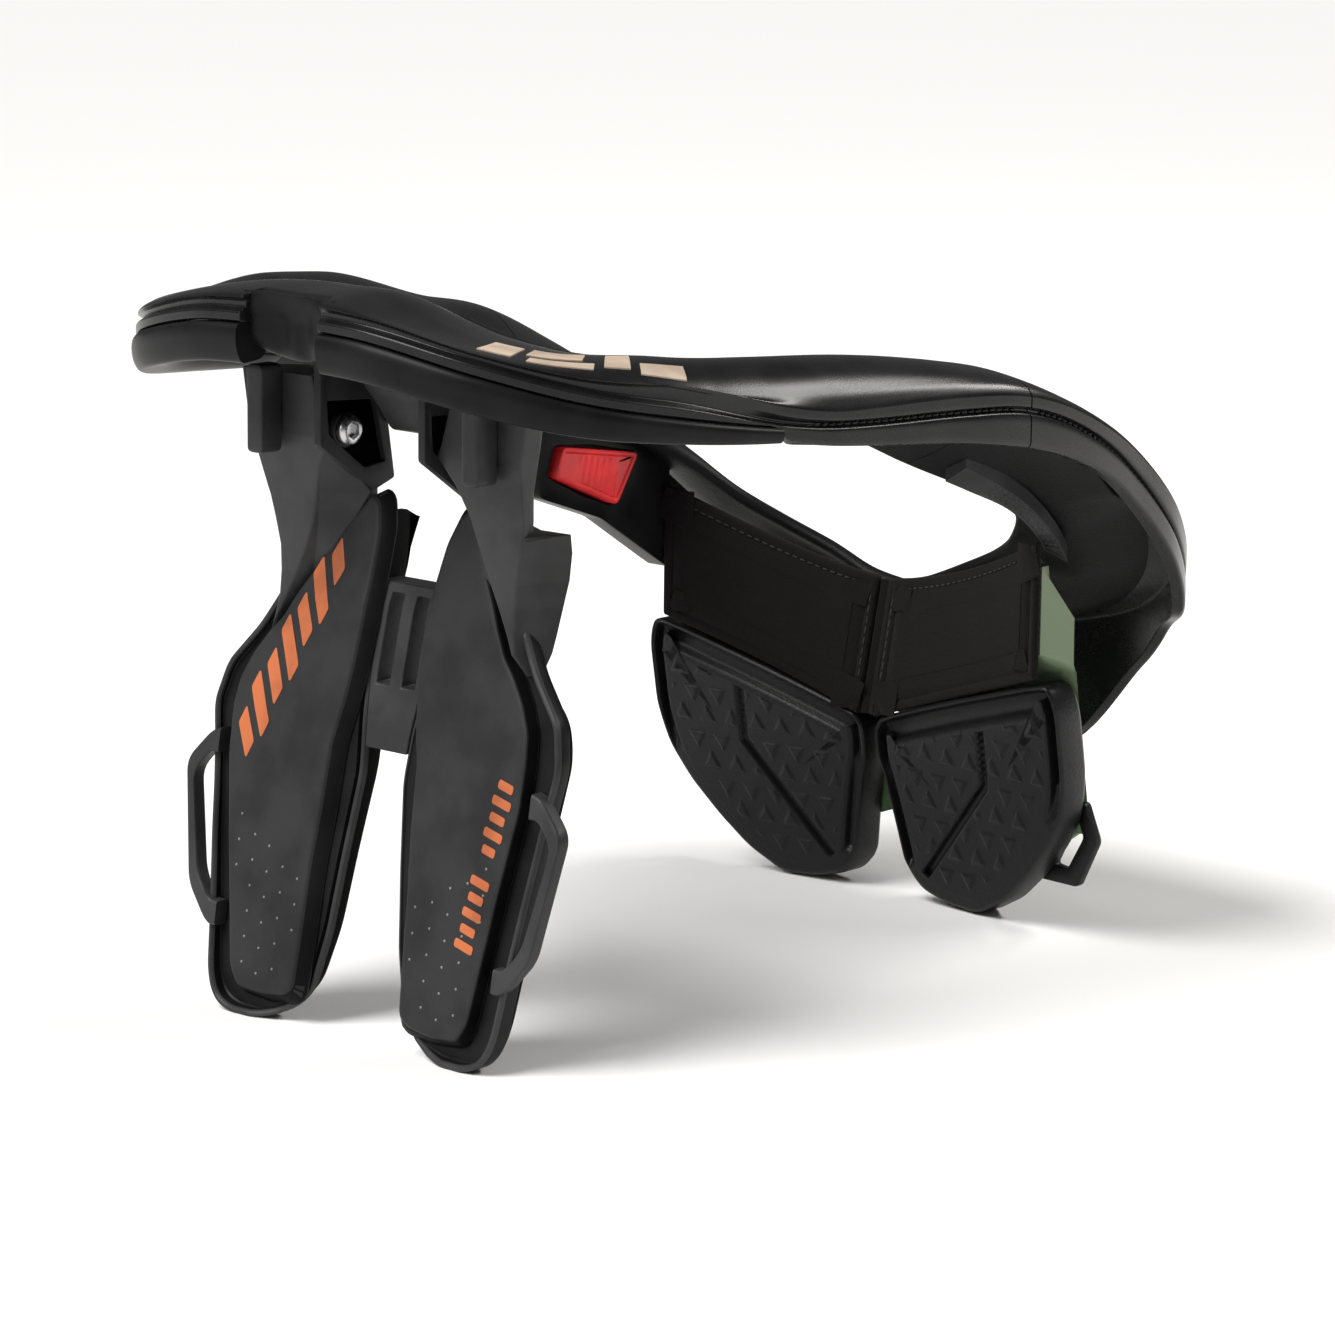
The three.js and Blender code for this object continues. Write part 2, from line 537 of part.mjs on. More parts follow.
// side: share of the chest half width; low and high: shares of the fold height.
const petalRows = [
  [0.03, 0.72, 0.87], [0.06, 0.6, 0.93], [0.10, 0.38, 0.95], [0.135, 0.16, 0.975], [0.21, 0.06, 1.0],
  [0.35, 0.014, 1.06], [0.53, 0, 1.12], [0.70, 0.11, 1.18], [0.84, 0.26, 1.23], [0.97, 0.43, 1.275],
  [1.05, 0.58, 1.29], [1.08, 0.70, 1.24], [1.10, 0.83, 1.14]];
function petalSection([side, low, high]) {
  const y = side * chestHalf;
  const bottom = low * foldHeight;
  const top = Math.min(high * foldHeight, petalTopZ(y));
  const bevel = Math.min(3, (top - bottom) / 5);
  const at = (z, dx) => new THREE.Vector3(petalX(y, z) + dx, y, z);
  const middle = (bottom + top) / 2;
  return [at(bottom, bevel), at(bottom + bevel, 0), at(middle, 0), at(top - bevel, 0), at(top, bevel),
    at(top, petalThickness), at(middle, petalThickness), at(bottom + bevel, petalThickness),
    at(bottom, petalThickness - bevel)];
}

// Bent groove across the petal's face, as [side, height] shares like the rows above.
const groovePath = [[0.65, 1.3], [0.65, 0.70], [0.13, -0.02]];
function grooveSection([side, height]) {
  const y = side * chestHalf;
  const z = height * foldHeight;
  const half = grooveWidth / 2;
  const at = (dy, dx) => new THREE.Vector3(petalX(y, z) + dx, y + dy, z);
  return [at(-half, -5), at(half, -5), at(half, grooveDepth), at(-half, grooveDepth)];
}
const petal = cut(loft(petalRows.map(petalSection)), loft(groovePath.map(grooveSection)));
addPair('chest_petal', petal, mattPad);

// Shell: behind the liner above the fold and behind the petals below it, with a flank at its outer edge.
const behindLiner = linerThickness + gap;
const behindPetal = petalThickness + gap;
const flankShare = 0.8;
function shellPlace(u, v) {
  const wrap = THREE.MathUtils.clamp((u - flankShare) / (1 - flankShare), 0, 1);
  const y = fade(seamHalf + gap, chestHalf, Math.min(u / flankShare, 1));
  const side = y / chestHalf;
  const top = linerTopZ(y) - 3 - 0.13 * chestHeight * wrap;
  const bottom = foldHeight * fade(fade(0.42, 0.2, Math.min(2 * side, 1)), 0.5, side ** 3);
  const ledge = petalTopZ(y) + 1;
  const above = THREE.MathUtils.clamp((v - ledgeShare) / rampShare, 0, 1);
  const z = v <= ledgeShare ? fade(bottom, ledge, v / ledgeShare)
    : fade(ledge, top, (v - ledgeShare) / (1 - ledgeShare));
  const x = fade(petalX(y, z) + behindPetal, linerX(y, z) + behindLiner, above);
  return new THREE.Vector3(x + flankDepth * wrap * fade(0.1, 1, above), y + flankSpread * wrap, z);
}
const forward = new THREE.Vector3(shellThickness, 0, 0);
const aside = new THREE.Vector3(0.5, -shellThickness, 0);
const shellOut = (u) => {
  const turned = THREE.MathUtils.clamp((2 * (u - flankShare)) / (1 - flankShare), 0, 1);
  return forward.clone().lerp(aside, turned);
};

// Small loop at the shell's lower outer corner: [share of the half width, share of the fold height].
const chestLoopOutline = [[0.747, 0.214], [0.976, 0.214], [1.108, 0.471], [1.06, 0.671], [0.916, 0.629]];
const chestLoopHole = [[0.855, 0.307], [0.928, 0.3], [1.036, 0.486], [1.012, 0.571], [0.952, 0.486]];
const onChest = ([side, up]) => [side * chestHalf, up * foldHeight];
const chestLoopX = (y, z) => petalX(y, z) + behindPetal;
const chestLoop = cut(surfacePlate(chestLoopOutline.map(onChest), chestLoopX, shellThickness),
  surfacePlate(chestLoopHole.map(onChest), (y, z) => chestLoopX(y, z) - 1, shellThickness + 2));
addPair('chest_shell', join(sheet(shellPlace, shellOut, 15, 10), chestLoop), greenShell);

// Latch on the left: the release tab in its holder under the collar, in the collar's side view.
// Places are given as shares of the collar's length and height.
const besideCollar = ([along, up]) => [collarX(along), up * collarHeight];
const tabOutline = [[0.622, 0.664], [0.7355, 0.639], [0.7035, 0.565], [0.612, 0.62]].map(besideCollar);
const holderOutline = [[0.596, 0.748], [0.596, 0.592], [0.689, 0.536], [0.782, 0.458], [0.782, 0.63]]
  .map(besideCollar);
const holderPlace = chestHalf + 1;
const tabCentre = tabOutline.reduce((c, [x, z]) => [c[0] + x / 4, c[1] + z / 4], [0, 0]);
const grown = (outline, by) => outline.map(([x, z]) => {
  const [dx, dz] = [x - tabCentre[0], z - tabCentre[1]];
  const length = Math.hypot(dx, dz);
  return [x + (dx / length) * by, z + (dz / length) * by];
});
const tabHalf = tabThickness / 2;
const pocket = prism(grown(tabOutline, tabClearance), 'xz', holderPlace - 1, holderPlace + tabHalf + gap);
const holder = cut(prism(holderOutline, 'xz', holderPlace, holderPlace + holderThickness), pocket,
  frontPad.clone().translate(0, 0, -gap));
add('latch_holder', holder, satinShell);
add('release_tab', prism(tabOutline, 'xz', holderPlace - tabHalf, holderPlace + tabHalf), redTab);

// Badge plate under the right side of the front collar pad, hung on the pad's belly.
const badgeFrom = 1 - ringShare(collarX(0.689));
const badgeTo = 1 - ringShare(collarX(0.869));
function badgePlace(u, v) {
  const ring = padSection(1 - fade(badgeFrom, badgeTo, u), frameWall);
  const [low, belly] = ring.slice(-2);
  return low.clone().lerp(belly, fade(0.35, 1, v)).add(new THREE.Vector3(0, 0, -gap - 0.1));
}
add('side_badge', sheet(badgePlace, () => new THREE.Vector3(0, 0, -badgeThickness), 10, 2), mattPad);

// The origin is under the middle of the whole, on the surface that it stands on.
const whole = new THREE.Box3().setFromObject(group, true);
const middle = whole.getCenter(new THREE.Vector3());
group.position.set(-middle.x, -middle.y, -whole.min.z);
group.updateMatrixWorld(true);

export default group;
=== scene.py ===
"""Looks of a motocross neck brace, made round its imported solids.

Millimetres in the brace's own layout, as in its CAD source: X forward, Y to the wearer's left, Z up.
assemble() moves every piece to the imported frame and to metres.
"""
import math

import bmesh
import bpy
import numpy as np
from mathutils import Matrix, Vector


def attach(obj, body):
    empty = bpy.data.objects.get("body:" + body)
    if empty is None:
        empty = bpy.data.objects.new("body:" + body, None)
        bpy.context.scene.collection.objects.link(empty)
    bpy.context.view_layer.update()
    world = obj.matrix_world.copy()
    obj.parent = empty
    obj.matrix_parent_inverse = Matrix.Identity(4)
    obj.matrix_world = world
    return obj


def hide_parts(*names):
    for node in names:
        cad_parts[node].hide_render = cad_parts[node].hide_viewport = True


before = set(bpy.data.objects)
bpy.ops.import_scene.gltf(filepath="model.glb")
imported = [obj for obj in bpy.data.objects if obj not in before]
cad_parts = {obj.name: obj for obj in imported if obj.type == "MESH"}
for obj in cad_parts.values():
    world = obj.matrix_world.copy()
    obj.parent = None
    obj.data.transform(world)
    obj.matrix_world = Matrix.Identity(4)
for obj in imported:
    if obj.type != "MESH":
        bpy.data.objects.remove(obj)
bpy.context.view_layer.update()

MILLIMETRE = 0.001
MIDDLE = 72.5712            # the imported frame's origin lies this far forward of the layout's
WELD, SLIVER = 2e-6, 1e-6   # metres: points closer than WELD are one, shorter edges are dissolved
BEVEL_FROM = 50             # degrees between faces from which an edge is bevelled

# Collar
COLLAR_LENGTH, COLLAR_WIDTH, COLLAR_HEIGHT = 344.0, 261.0, 238.0
REAR_EDGE = -99.0
WALL = 4.5
LIP = 8.0
BELLY_FRONT, BELLY_REAR = 0.45, 0.75
TABLE_SHARE, SHOULDER_SHARE, BENCH_SHARE = 0.72, 0.40, 0.55
SPLIT_ALONG, SPLIT_GAP = 0.587, 0.6
NOTCH_HALF, NOTCH_DEPTH = 16.0, 8.0
RAIL_DEPTH, RAIL_REAR, RAIL_FRONT, RAIL_END = 14.0, 12.5, 5.0, -2.0
# Rear struts
STRUT_HEIGHT = 0.861 * COLLAR_HEIGHT
STRUT_LEAN, STRUT_SPAN = 74.0, 75.5
PAD, PLATE, RIM, RIM_RISE = 5.0, 3.5, 2.0, 2.5
LOOP_BAR, LOOP_THICKNESS, LOOP_REACH = 3.8, 5.0, 10.0
LOOP_TOP, LOOP_BOTTOM, LOOP_ROOT = 84.0, 30.0, 4.0
BRIDGE_TOP, BRIDGE_BOTTOM, BRIDGE_DEPTH = 141.0, 90.0, 4.0
BRIDGE_RIB = 2.4 * BRIDGE_DEPTH
SLOT_WIDTH, SLOT_HEIGHT = 5.5, 28.0
FOAM, FOAM_FOOT = 12.0, 5.0
# Chest piece
LINER, SHELL, PETAL = 3.0, 3.5, 15.0
CHEST_HEIGHT, CHEST_HALF = 0.592 * COLLAR_HEIGHT, 83.0
SEAM_HALF = 3.0
FOLD = 70.0
TAB, HOLDER = 6.0, 9.0
GAP = 0.3


# Arrays

def fade(start, end, share):
    return start + (end - start) * share


def ease(low, high, x):
    """Smooth step from 0 at low to 1 at high: s*s*(3 - 2s)."""
    s = np.clip((x - low) / (high - low), 0, 1)
    return s * s * (3 - 2 * s)


def stack(*axes):
    """Points from their coordinates, each a number or an array."""
    return np.stack(np.broadcast_arrays(*[np.asarray(a, float) for a in axes]), -1)


def rounded(corners, reach, steps=3, closed=True):
    """Each corner c is cut back by reach to a and b and bridged by the arc (1-s)^2 a + 2s(1-s) c + s^2 b."""
    before = np.roll(corners, 1, -2) - corners
    after = np.roll(corners, -1, -2) - corners
    reach = np.broadcast_to(np.asarray(reach, float), corners.shape[:-1])
    cuts = []
    for side in (before, after):
        length = np.maximum(np.linalg.norm(side, axis=-1), 1e-9)
        cuts.append(side * (np.minimum(reach, 0.46 * length) / length)[..., None])
    s = np.linspace(0, 1, steps + 1)[:, None]
    c = corners[..., None, :]
    arc = c + (1 - s) ** 2 * cuts[0][..., None, :] + s**2 * cuts[1][..., None, :]
    if not closed:
        arc[..., 0, :, :] = corners[..., 0, None, :]
        arc[..., -1, :, :] = corners[..., -1, None, :]
    return arc.reshape(*corners.shape[:-2], -1, corners.shape[-1])


def outlined(corners, reach, steps, count):
    """Closed outline: its corners rounded, then count points at equal steps of length along it."""
    line = rounded(corners, reach, steps)
    line = np.vstack([line, line[:1]])
    travelled = np.append(0, np.cumsum(np.linalg.norm(np.diff(line, axis=0), axis=1)))
    wanted = np.linspace(0, travelled[-1], count, endpoint=False)
    return np.stack([np.interp(wanted, travelled, column) for column in line.T], 1)


def centred(loop):
    """Spine of one point, the middle of the loop."""
    return np.broadcast_to(loop.mean(0), loop.shape)


def quads(rows, columns, round_rows=False):
    """Corner numbers of the faces of a grid of points whose columns close on themselves."""
    i = np.arange(rows if round_rows else rows - 1)[:, None]
    j = np.arange(columns)[None, :]
    down, right = (i + 1) % rows, (j + 1) % columns
    faces = [i * columns + j, i * columns + right, down * columns + right, down * columns + j]
    return np.stack(np.broadcast_arrays(*faces), -1).reshape(-1, 4).tolist()


def tube(grid, capped=True):
    """Skin of a grid whose columns close on themselves, with flat ends: (points, faces)."""
    rows, columns = grid.shape[:2]
    faces = quads(rows, columns)
    if capped:
        faces.append(list(range(columns)))
        faces.append(list(range((rows - 1) * columns, rows * columns)))
    return grid.reshape(-1, 3), faces


def sheet(near, far):
    """Closed skin between two grids of points, near and far, that lie face to face."""
    return tube(np.concatenate([near, far[:, ::-1]], 1))


def slab(outline, spine, steps, place):
    """Pad or plate: every point of a closed outline walks the steps (inset, share, height).

    inset goes along the outline's inward normal, share then fades towards the spine, and place(a, b, height)
    lays it in space. The first and the last step have share 1, where the skin closes on the spine.
    """
    tangent = np.roll(outline, -1, 0) - np.roll(outline, 1, 0)
    tangent /= np.linalg.norm(tangent, axis=1, keepdims=True)
    x, y = outline.T
    turn = np.sign(np.sum(x * np.roll(y, -1) - y * np.roll(x, -1)))
    inward = turn * np.stack([-tangent[:, 1], tangent[:, 0]], 1)
    rings = []
    for inset, share, height in steps:
        if callable(inset):
            inset = inset(inward)[:, None]
        point = fade(outline + inward * inset, spine, share)
        if callable(height):
            height = height(point[:, 0], point[:, 1], inward)
        rings.append(place(point[:, 0], point[:, 1], height))
    return tube(np.stack(rings), capped=False)


def mirror(parts):
    """The same parts on the wearer's right."""
    return [(points * [1, -1, 1], faces) for points, faces in parts]


# Meshes

def assemble(name, parts, material, body, slot, replaces=(), angle=40, fill=None, bevel=None):
    """One object from (points, faces) parts, smooth but for edges sharper than angle, riding on its body."""
    points, faces, start = [], [], 0
    for part_points, part_faces in parts:
        points.append(np.asarray(part_points, float).reshape(-1, 3))
        faces += [[i + start for i in face] for face in part_faces]
        start += len(points[-1])
    placed = (np.concatenate(points) - [MIDDLE, 0, 0]) * MILLIMETRE
    mesh = bpy.data.meshes.new(name)
    mesh.from_pydata(placed.tolist(), [], faces)
    clean = bmesh.new()
    clean.from_mesh(mesh)
    bmesh.ops.remove_doubles(clean, verts=clean.verts, dist=WELD)
    bmesh.ops.dissolve_degenerate(clean, edges=clean.edges, dist=SLIVER)
    bmesh.ops.recalc_face_normals(clean, faces=clean.faces)
    clean.to_mesh(mesh)
    clean.free()
    mesh.polygons.foreach_set("use_smooth", np.ones(len(mesh.polygons), bool))
    mesh.set_sharp_from_angle(angle=math.radians(angle))
    mesh.materials.append(material)
    piece = bpy.data.objects.new(name, mesh)
    bpy.context.scene.collection.objects.link(piece)
    if bevel:
        edges = piece.modifiers.new("edges", "BEVEL")
        edges.width, edges.segments, edges.limit_method = bevel * MILLIMETRE, 3, "ANGLE"
        edges.angle_limit = math.radians(BEVEL_FROM)
    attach(piece, body)
    if replaces:
        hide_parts(*replaces)
    return piece


def assemble_pair(name, parts, material, body, slot, **options):
    """Left and right pieces of one name, each in the place of its own node unless told otherwise."""
    node = options.pop("node", name)
    for side, made in (("left", parts), ("right", mirror(parts))):
        stands_for = [f"{node}_{side}"] if node else []
        assemble(f"{name}_{side}_skin", made, material, body, slot, replaces=stands_for, **options)


# Shaders

class Shade:
    """A socket whose arithmetic adds Math nodes to its material."""

    def __init__(self, paint, socket):
        self.paint, self.socket = paint, socket

    def math(self, operation, *values):
        return self.paint.out("ShaderNodeMath", {"operation": operation}, [self, *values])

    def __add__(self, other):
        return self.math("ADD", other)

    def __mul__(self, other):
        return self.math("MULTIPLY", other)

    def abs(self):
        return self.math("ABSOLUTE")

    def sin(self):
        return self.math("SINE")

    def step(self, low, high):
        """Smooth step of this value between low and high."""
        kind = {"interpolation_type": "SMOOTHSTEP"}
        return self.paint.out("ShaderNodeMapRange", kind, {"Value": self, "From Min": low, "From Max": high})


class Paint:
    """A material with one Principled shader."""

    def __init__(self, name, **sockets):
        self.material = bpy.data.materials.new(name)
        self.material.use_nodes = True
        self.tree = self.material.node_tree
        self.shader = self.tree.nodes["Principled BSDF"]
        self.place = self.out("ShaderNodeTexCoord", {}, {}, "Object")
        for socket, value in sockets.items():
            self.set(socket.replace("_", " "), value)

    def node(self, kind, settings, values):
        """Any node: its settings first, then the values or links of its sockets, by name or in order."""
        node = self.tree.nodes.new(kind)
        for key, value in settings.items():
            setattr(node, key, value)
        named = values.items() if isinstance(values, dict) else enumerate(values)
        for key, value in named:
            self.feed(node.inputs[key], value)
        return node

    def feed(self, socket, value):
        if isinstance(value, Shade):
            self.tree.links.new(value.socket, socket)
        else:
            socket.default_value = value

    def out(self, kind, settings, values, output=0):
        return Shade(self, self.node(kind, settings, values).outputs[output])

    def set(self, socket, value):
        self.feed(self.shader.inputs[socket], value)

    def axis(self, name):
        return self.out("ShaderNodeSeparateXYZ", {}, [self.place], name)

    def noise(self, scale, detail=2.0):
        values = {"Vector": self.place, "Scale": scale, "Detail": detail}
        return self.out("ShaderNodeTexNoise", {}, values, "Fac")

    def cells(self, scale, feature="F1"):
        values = {"Vector": self.place, "Scale": scale}
        return self.out("ShaderNodeTexVoronoi", {"feature": feature}, values, "Distance")

    def mix(self, share, first, second):
        node = self.node("ShaderNodeMix", {"data_type": "RGBA"}, {})
        for index, value in ((0, share), (6, first), (7, second)):
            self.feed(node.inputs[index], value)
        return Shade(self, node.outputs[2])

    def bump(self, height, distance):
        values = {"Height": height, "Distance": distance, "Strength": 1.0}
        self.set("Normal", self.out("ShaderNodeBump", {}, values))


def tinted(color, share, more=0.0):
    """The colour made lighter or darker by a share."""
    return tuple(min(1, share * c + more) for c in color[:3]) + (1,)


def moulded(name, color, roughness, grain, level):
    """Moulded plastic: fine spark grain, cloudy gloss and a faint change of tone."""
    paint = Paint(name, Specular_IOR_Level=level)
    cloud = paint.noise(45, 3)
    speck = paint.noise(1900, 2)
    tones = tinted(color, 0.8), tinted(color, 1.25, 0.002)
    paint.set("Base Color", paint.mix(cloud.step(0.35, 0.65), *tones))
    paint.set("Roughness", cloud * 0.10 + speck * 0.06 + (roughness - 0.08))
    paint.bump(speck * 0.7 + paint.cells(2600) * 0.3, grain)
    return paint.material


def rubbery(name, color, roughness, level):
    """Pressed foam skin: a leathery cell grain, deeper than the plastic's."""
    paint = Paint(name, Specular_IOR_Level=level)
    cells = paint.cells(1250, "SMOOTH_F1")
    cloud = paint.noise(60, 3)
    paint.set("Base Color", paint.mix(cloud, color, tinted(color, 1.3, 0.001)))
    paint.set("Roughness", cloud * 0.12 + cells * 0.10 + (roughness - 0.1))
    paint.bump(cells * 0.7 + paint.noise(3200) * 0.3, 0.00012)
    return paint.material


def knitted(name, color, roughness):
    """Knit cloth: fine wales and courses, |sin| along two axes, with loose colour and some sheen."""
    paint = Paint(name, Specular_IOR_Level=0.08, Sheen_Weight=0.05, Sheen_Roughness=0.4)
    along = (paint.axis("Y") * 5200 + paint.axis("X") * 2600).sin().abs()
    across = (paint.axis("Z") * 4200).sin().abs()
    cloth = along * 0.6 + across * 0.4
    cloud = paint.noise(70, 4)
    tones = tinted(color, 0.55), tinted(color, 1.5)
    paint.set("Base Color", paint.mix(cloth * 0.6 + cloud * 0.4, *tones))
    paint.set("Roughness", cloud * 0.1 + (roughness - 0.05))
    paint.bump(cloth + cloud * 0.4, 0.00015)
    return paint.material


def brushed(name):
    """Turned steel screw head with fine scratches."""
    paint = Paint(name, Metallic=1.0, Base_Color=(0.55, 0.55, 0.56, 1))
    scratch = paint.noise(2500, 3)
    paint.set("Roughness", scratch * 0.2 + 0.2)
    paint.bump(scratch, 0.00003)
    return paint.material


def leafy(name):
    """Green shell plastic, greyer and lighter towards its top: painted light falling from above."""
    paint = Paint(name, Specular_IOR_Level=0.35)
    # painted light: the shell lighter and greyer towards its top, darker and greener below
    top = paint.axis("Z").step(0.04, 0.13)
    fleck = paint.noise(1500, 2)
    color = paint.mix(top, (0.085, 0.16, 0.07, 1), (0.235, 0.30, 0.19, 1))
    paint.set("Base Color", paint.mix(fleck * 0.25, color, (0.26, 0.32, 0.21, 1)))
    paint.set("Roughness", fleck * 0.1 + 0.38)
    paint.bump(fleck, 0.00004)
    return paint.material


satin = moulded("satin_shell", (0.006, 0.006, 0.0065, 1), 0.27, 0.00002, 0.28)
ribbed = moulded("strut_plastic", (0.030, 0.030, 0.031, 1), 0.44, 0.00006, 0.22)
plated = moulded("plate_plastic", (0.006, 0.006, 0.0065, 1), 0.42, 0.00005, 0.14)
dull = moulded("strut_cover_plastic", (0.020, 0.020, 0.021, 1), 0.50, 0.00009, 0.16)
# painted shade: near-black material for the band over the strut covers' slanted walls
wall_shade = moulded("cover_wall_shade", (0.0035, 0.0035, 0.004, 1), 0.5, 0.00006, 0.08)
railed = moulded("rail_plastic", (0.0055, 0.0055, 0.006, 1), 0.38, 0.00004, 0.12)
# painted shade: black, unreflecting material for the bracket's window
recess = moulded("window_shade", (0.001, 0.001, 0.001, 1), 0.8, 0.00002, 0.0)
padding = rubbery("collar_padding", (0.003, 0.003, 0.0033, 1), 0.48, 0.14)
pressed = rubbery("pressed_foam", (0.0035, 0.0035, 0.004, 1), 0.40, 0.24)
soft = rubbery("back_foam", (0.003, 0.003, 0.003, 1), 0.85, 0.08)
cloth = knitted("liner_cloth", (0.0075, 0.0062, 0.0062, 1), 0.88)
thread = knitted("liner_thread", (0.035, 0.035, 0.035, 1), 0.8)
leaf = leafy("green_shell")
red = moulded("red_tab", (0.72, 0.020, 0.022, 1), 0.38, 0.00004, 0.5)
dot = moulded("dot_plastic", (0.16, 0.16, 0.165, 1), 0.45, 0.00002, 0.5)
orange = moulded("orange_print", (0.40, 0.105, 0.035, 1), 0.55, 0.00004, 0.3)
cream = moulded("cream_print", (0.50, 0.40, 0.31, 1), 0.45, 0.00003, 0.4)
steel = brushed("screw_steel")


# Collar

# From the rear centre round the left to the front centre: share of the length, share of half the width,
# heights of edge, crest, sill and lip as shares of the collar height, and the neck side.
COLLAR = np.array([
    [0.000, 0.00, 0.987, 1.000, 0.954, 0.899, 0.200, 0.00],
    [0.000, 0.13, 0.987, 1.000, 0.954, 0.899, 0.200, 0.10],
    [0.002, 0.31, 0.979, 0.992, 0.947, 0.895, 0.202, 0.21],
    [0.029, 0.55, 0.947, 0.970, 0.918, 0.887, 0.206, 0.345],
    [0.093, 0.73, 0.918, 0.952, 0.884, 0.874, 0.222, 0.46],
    [0.180, 0.835, 0.905, 0.938, 0.859, 0.857, 0.266, 0.53],
    [0.276, 0.89, 0.895, 0.929, 0.838, 0.840, 0.331, 0.567],
    [0.384, 0.935, 0.889, 0.914, 0.824, 0.815, 0.419, 0.582],
    [0.500, 0.973, 0.876, 0.890, 0.811, 0.765, 0.515, 0.582],
    [0.587, 0.996, 0.851, 0.866, 0.790, 0.722, 0.587, 0.582],
    [0.674, 0.996, 0.805, 0.815, 0.740, 0.683, 0.660, 0.582],
    [0.762, 0.973, 0.742, 0.748, 0.664, 0.650, 0.730, 0.575],
    [0.856, 0.93, 0.641, 0.647, 0.555, 0.604, 0.788, 0.544],
    [0.924, 0.825, 0.545, 0.553, 0.452, 0.553, 0.823, 0.46],
    [0.966, 0.645, 0.475, 0.483, 0.335, 0.517, 0.846, 0.353],
    [0.988, 0.39, 0.433, 0.441, 0.24, 0.483, 0.860, 0.215],
    [0.997, 0.169, 0.412, 0.420, 0.223, 0.454, 0.8612, 0.092],
    [1.000, 0.00, 0.408, 0.416, 0.214, 0.441, 0.8663, 0.00]])
RING = np.vstack([COLLAR[:0:-1] * [1, -1, 1, 1, 1, 1, 1, -1], COLLAR])
LAST = len(RING) - 1


def collar_x(along):
    return REAR_EDGE + along * COLLAR_LENGTH


def around(values, t, centripetal=False):
    """Catmull-Rom curve through rows of values at t from 0 to 1, in its uniform or its centripetal form."""
    place = np.minimum(np.asarray(t, float) * LAST, LAST - 1e-9)
    row = np.floor(place).astype(int)
    f = (place - row)[:, None]
    before, after = values[:1], values[-1:]
    if centripetal:
        before, after = 2 * before - values[1:2], 2 * after - values[-2:-1]
    padded = np.vstack([before, values, after])
    a, b, c, d = (padded[row + k] for k in range(4))
    if not centripetal:
        return b + 0.5 * f * (c - a + f * (2 * a - 5 * b + 4 * c - d + f * (3 * (b - c) + d - a)))
    ab, bc, cd = (np.sqrt(np.linalg.norm(q - p, axis=1, keepdims=True)) for p, q in ((a, b), (b, c), (c, d)))
    start = ((b - a) / ab - (c - a) / (ab + bc) + (c - b) / bc) * bc
    end = ((c - b) / bc - (d - b) / (bc + cd) + (d - c) / cd) * bc
    return b + f * (start + f * (3 * (c - b) - 2 * start - end + f * (2 * (b - c) + start + end)))


class Stations:
    """Cross-sections of the collar at shares t of its ring, 0 and 1 being the front centre."""

    def __init__(self, t):
        self.t = np.asarray(t, float)
        edge_rows = stack(collar_x(RING[:, 0]), RING[:, 1] * COLLAR_WIDTH / 2, RING[:, 2] * COLLAR_HEIGHT)
        edge = around(edge_rows, self.t, centripetal=True)
        rows = around(RING, self.t)
        self.start = edge[:, :2]
        inner = stack(collar_x(rows[:, 6]), rows[:, 7] * COLLAR_WIDTH / 2)
        self.span = np.linalg.norm(inner - self.start, axis=1)
        self.inward = (inner - self.start) / self.span[:, None]
        self.edge = edge[:, 2]
        self.crest, self.sill, self.lip = rows[:, 3:6].T * COLLAR_HEIGHT
        # Share from the front centre, 0, to the rear centre, 0.5, on either side.
        self.back = np.minimum(self.t, 1 - self.t)
        self.crest = self.crest + self.lift()
        self.sill = self.sill + 10 * ease(0.055, 0.085, self.back) * (1 - ease(0.100, 0.125, self.back))
        self.lip_top = self.lip + LIP
        self.shoulder, self.bench, self.brink = (
            self.span * share for share in (SHOULDER_SHARE, BENCH_SHARE, TABLE_SHARE))
        self.bench_z = fade(self.crest, self.lip_top, 0.12)
        self.brink_z = fade(self.crest, self.lip_top, 0.42)

    def lift(self):
        """How much the crest stands above its row: the left shoulder arches up, the right one is flatter."""
        left = 6 * ease(0.262, 0.310, self.back) * (1 - ease(0.335, 0.385, self.back))
        right = 3 * ease(0.26, 0.34, self.back) + 3 * ease(0.36, 0.40, self.back)
        return np.where(self.t > 0.5, left, -right * (1 - ease(0.42, 0.47, self.back)))

    def at(self, depth, z):
        depth, z = (np.broadcast_to(value, self.t.shape)[:, None] for value in (depth, z))
        return np.concatenate([self.start + self.inward * depth, z], 1)

    def section(self, *places):
        return np.stack([self.at(depth, z) for depth, z in places], 1)

    def under(self, edge_depth, share):
        """Pad below the shell: depth and height of its outer edge, and height of its belly."""
        start = np.maximum(edge_depth, 0.5 * self.shoulder + 1) + GAP
        start_z = fade(self.edge, self.crest, 0.7) - WALL - GAP
        return start, start_z, fade(np.minimum(start_z - 3, self.sill + 1), self.lip, share)


def ring_share(x):
    """Share t, below 0.5, at which the collar's edge passes a place x on the wearer's right."""
    t = np.linspace(0, 0.5, 4001)
    edge = Stations(t).start[:, 0]
    return float(np.interp(-x, -edge, t))


# Stations across the notch, from just right to just left of it, and their places on Y.
NOTCH_T = np.linspace(0.44, 0.56, 801)
notch_y = Stations(NOTCH_T).start[:, 1]


def wall_lines(s):
    """Heights along the outer wall: its foot, the sewn groove and the crease under the shoulder."""
    fall = 6 * ease(0.18, 0.25, s.back) * (1 - ease(rail_share - 0.004, rail_share + 0.004, s.back))
    groove = s.sill + 10 * (1 - ease(0.17, 0.33, s.back)) * ease(0.05, 0.12, s.back)
    below = 9.5 * ease(0.20, 0.32, s.back) * (1 - ease(0.325, 0.385, s.back))
    return s.sill - fall, groove, s.edge - np.minimum(below, 0.62 * (s.edge - groove))


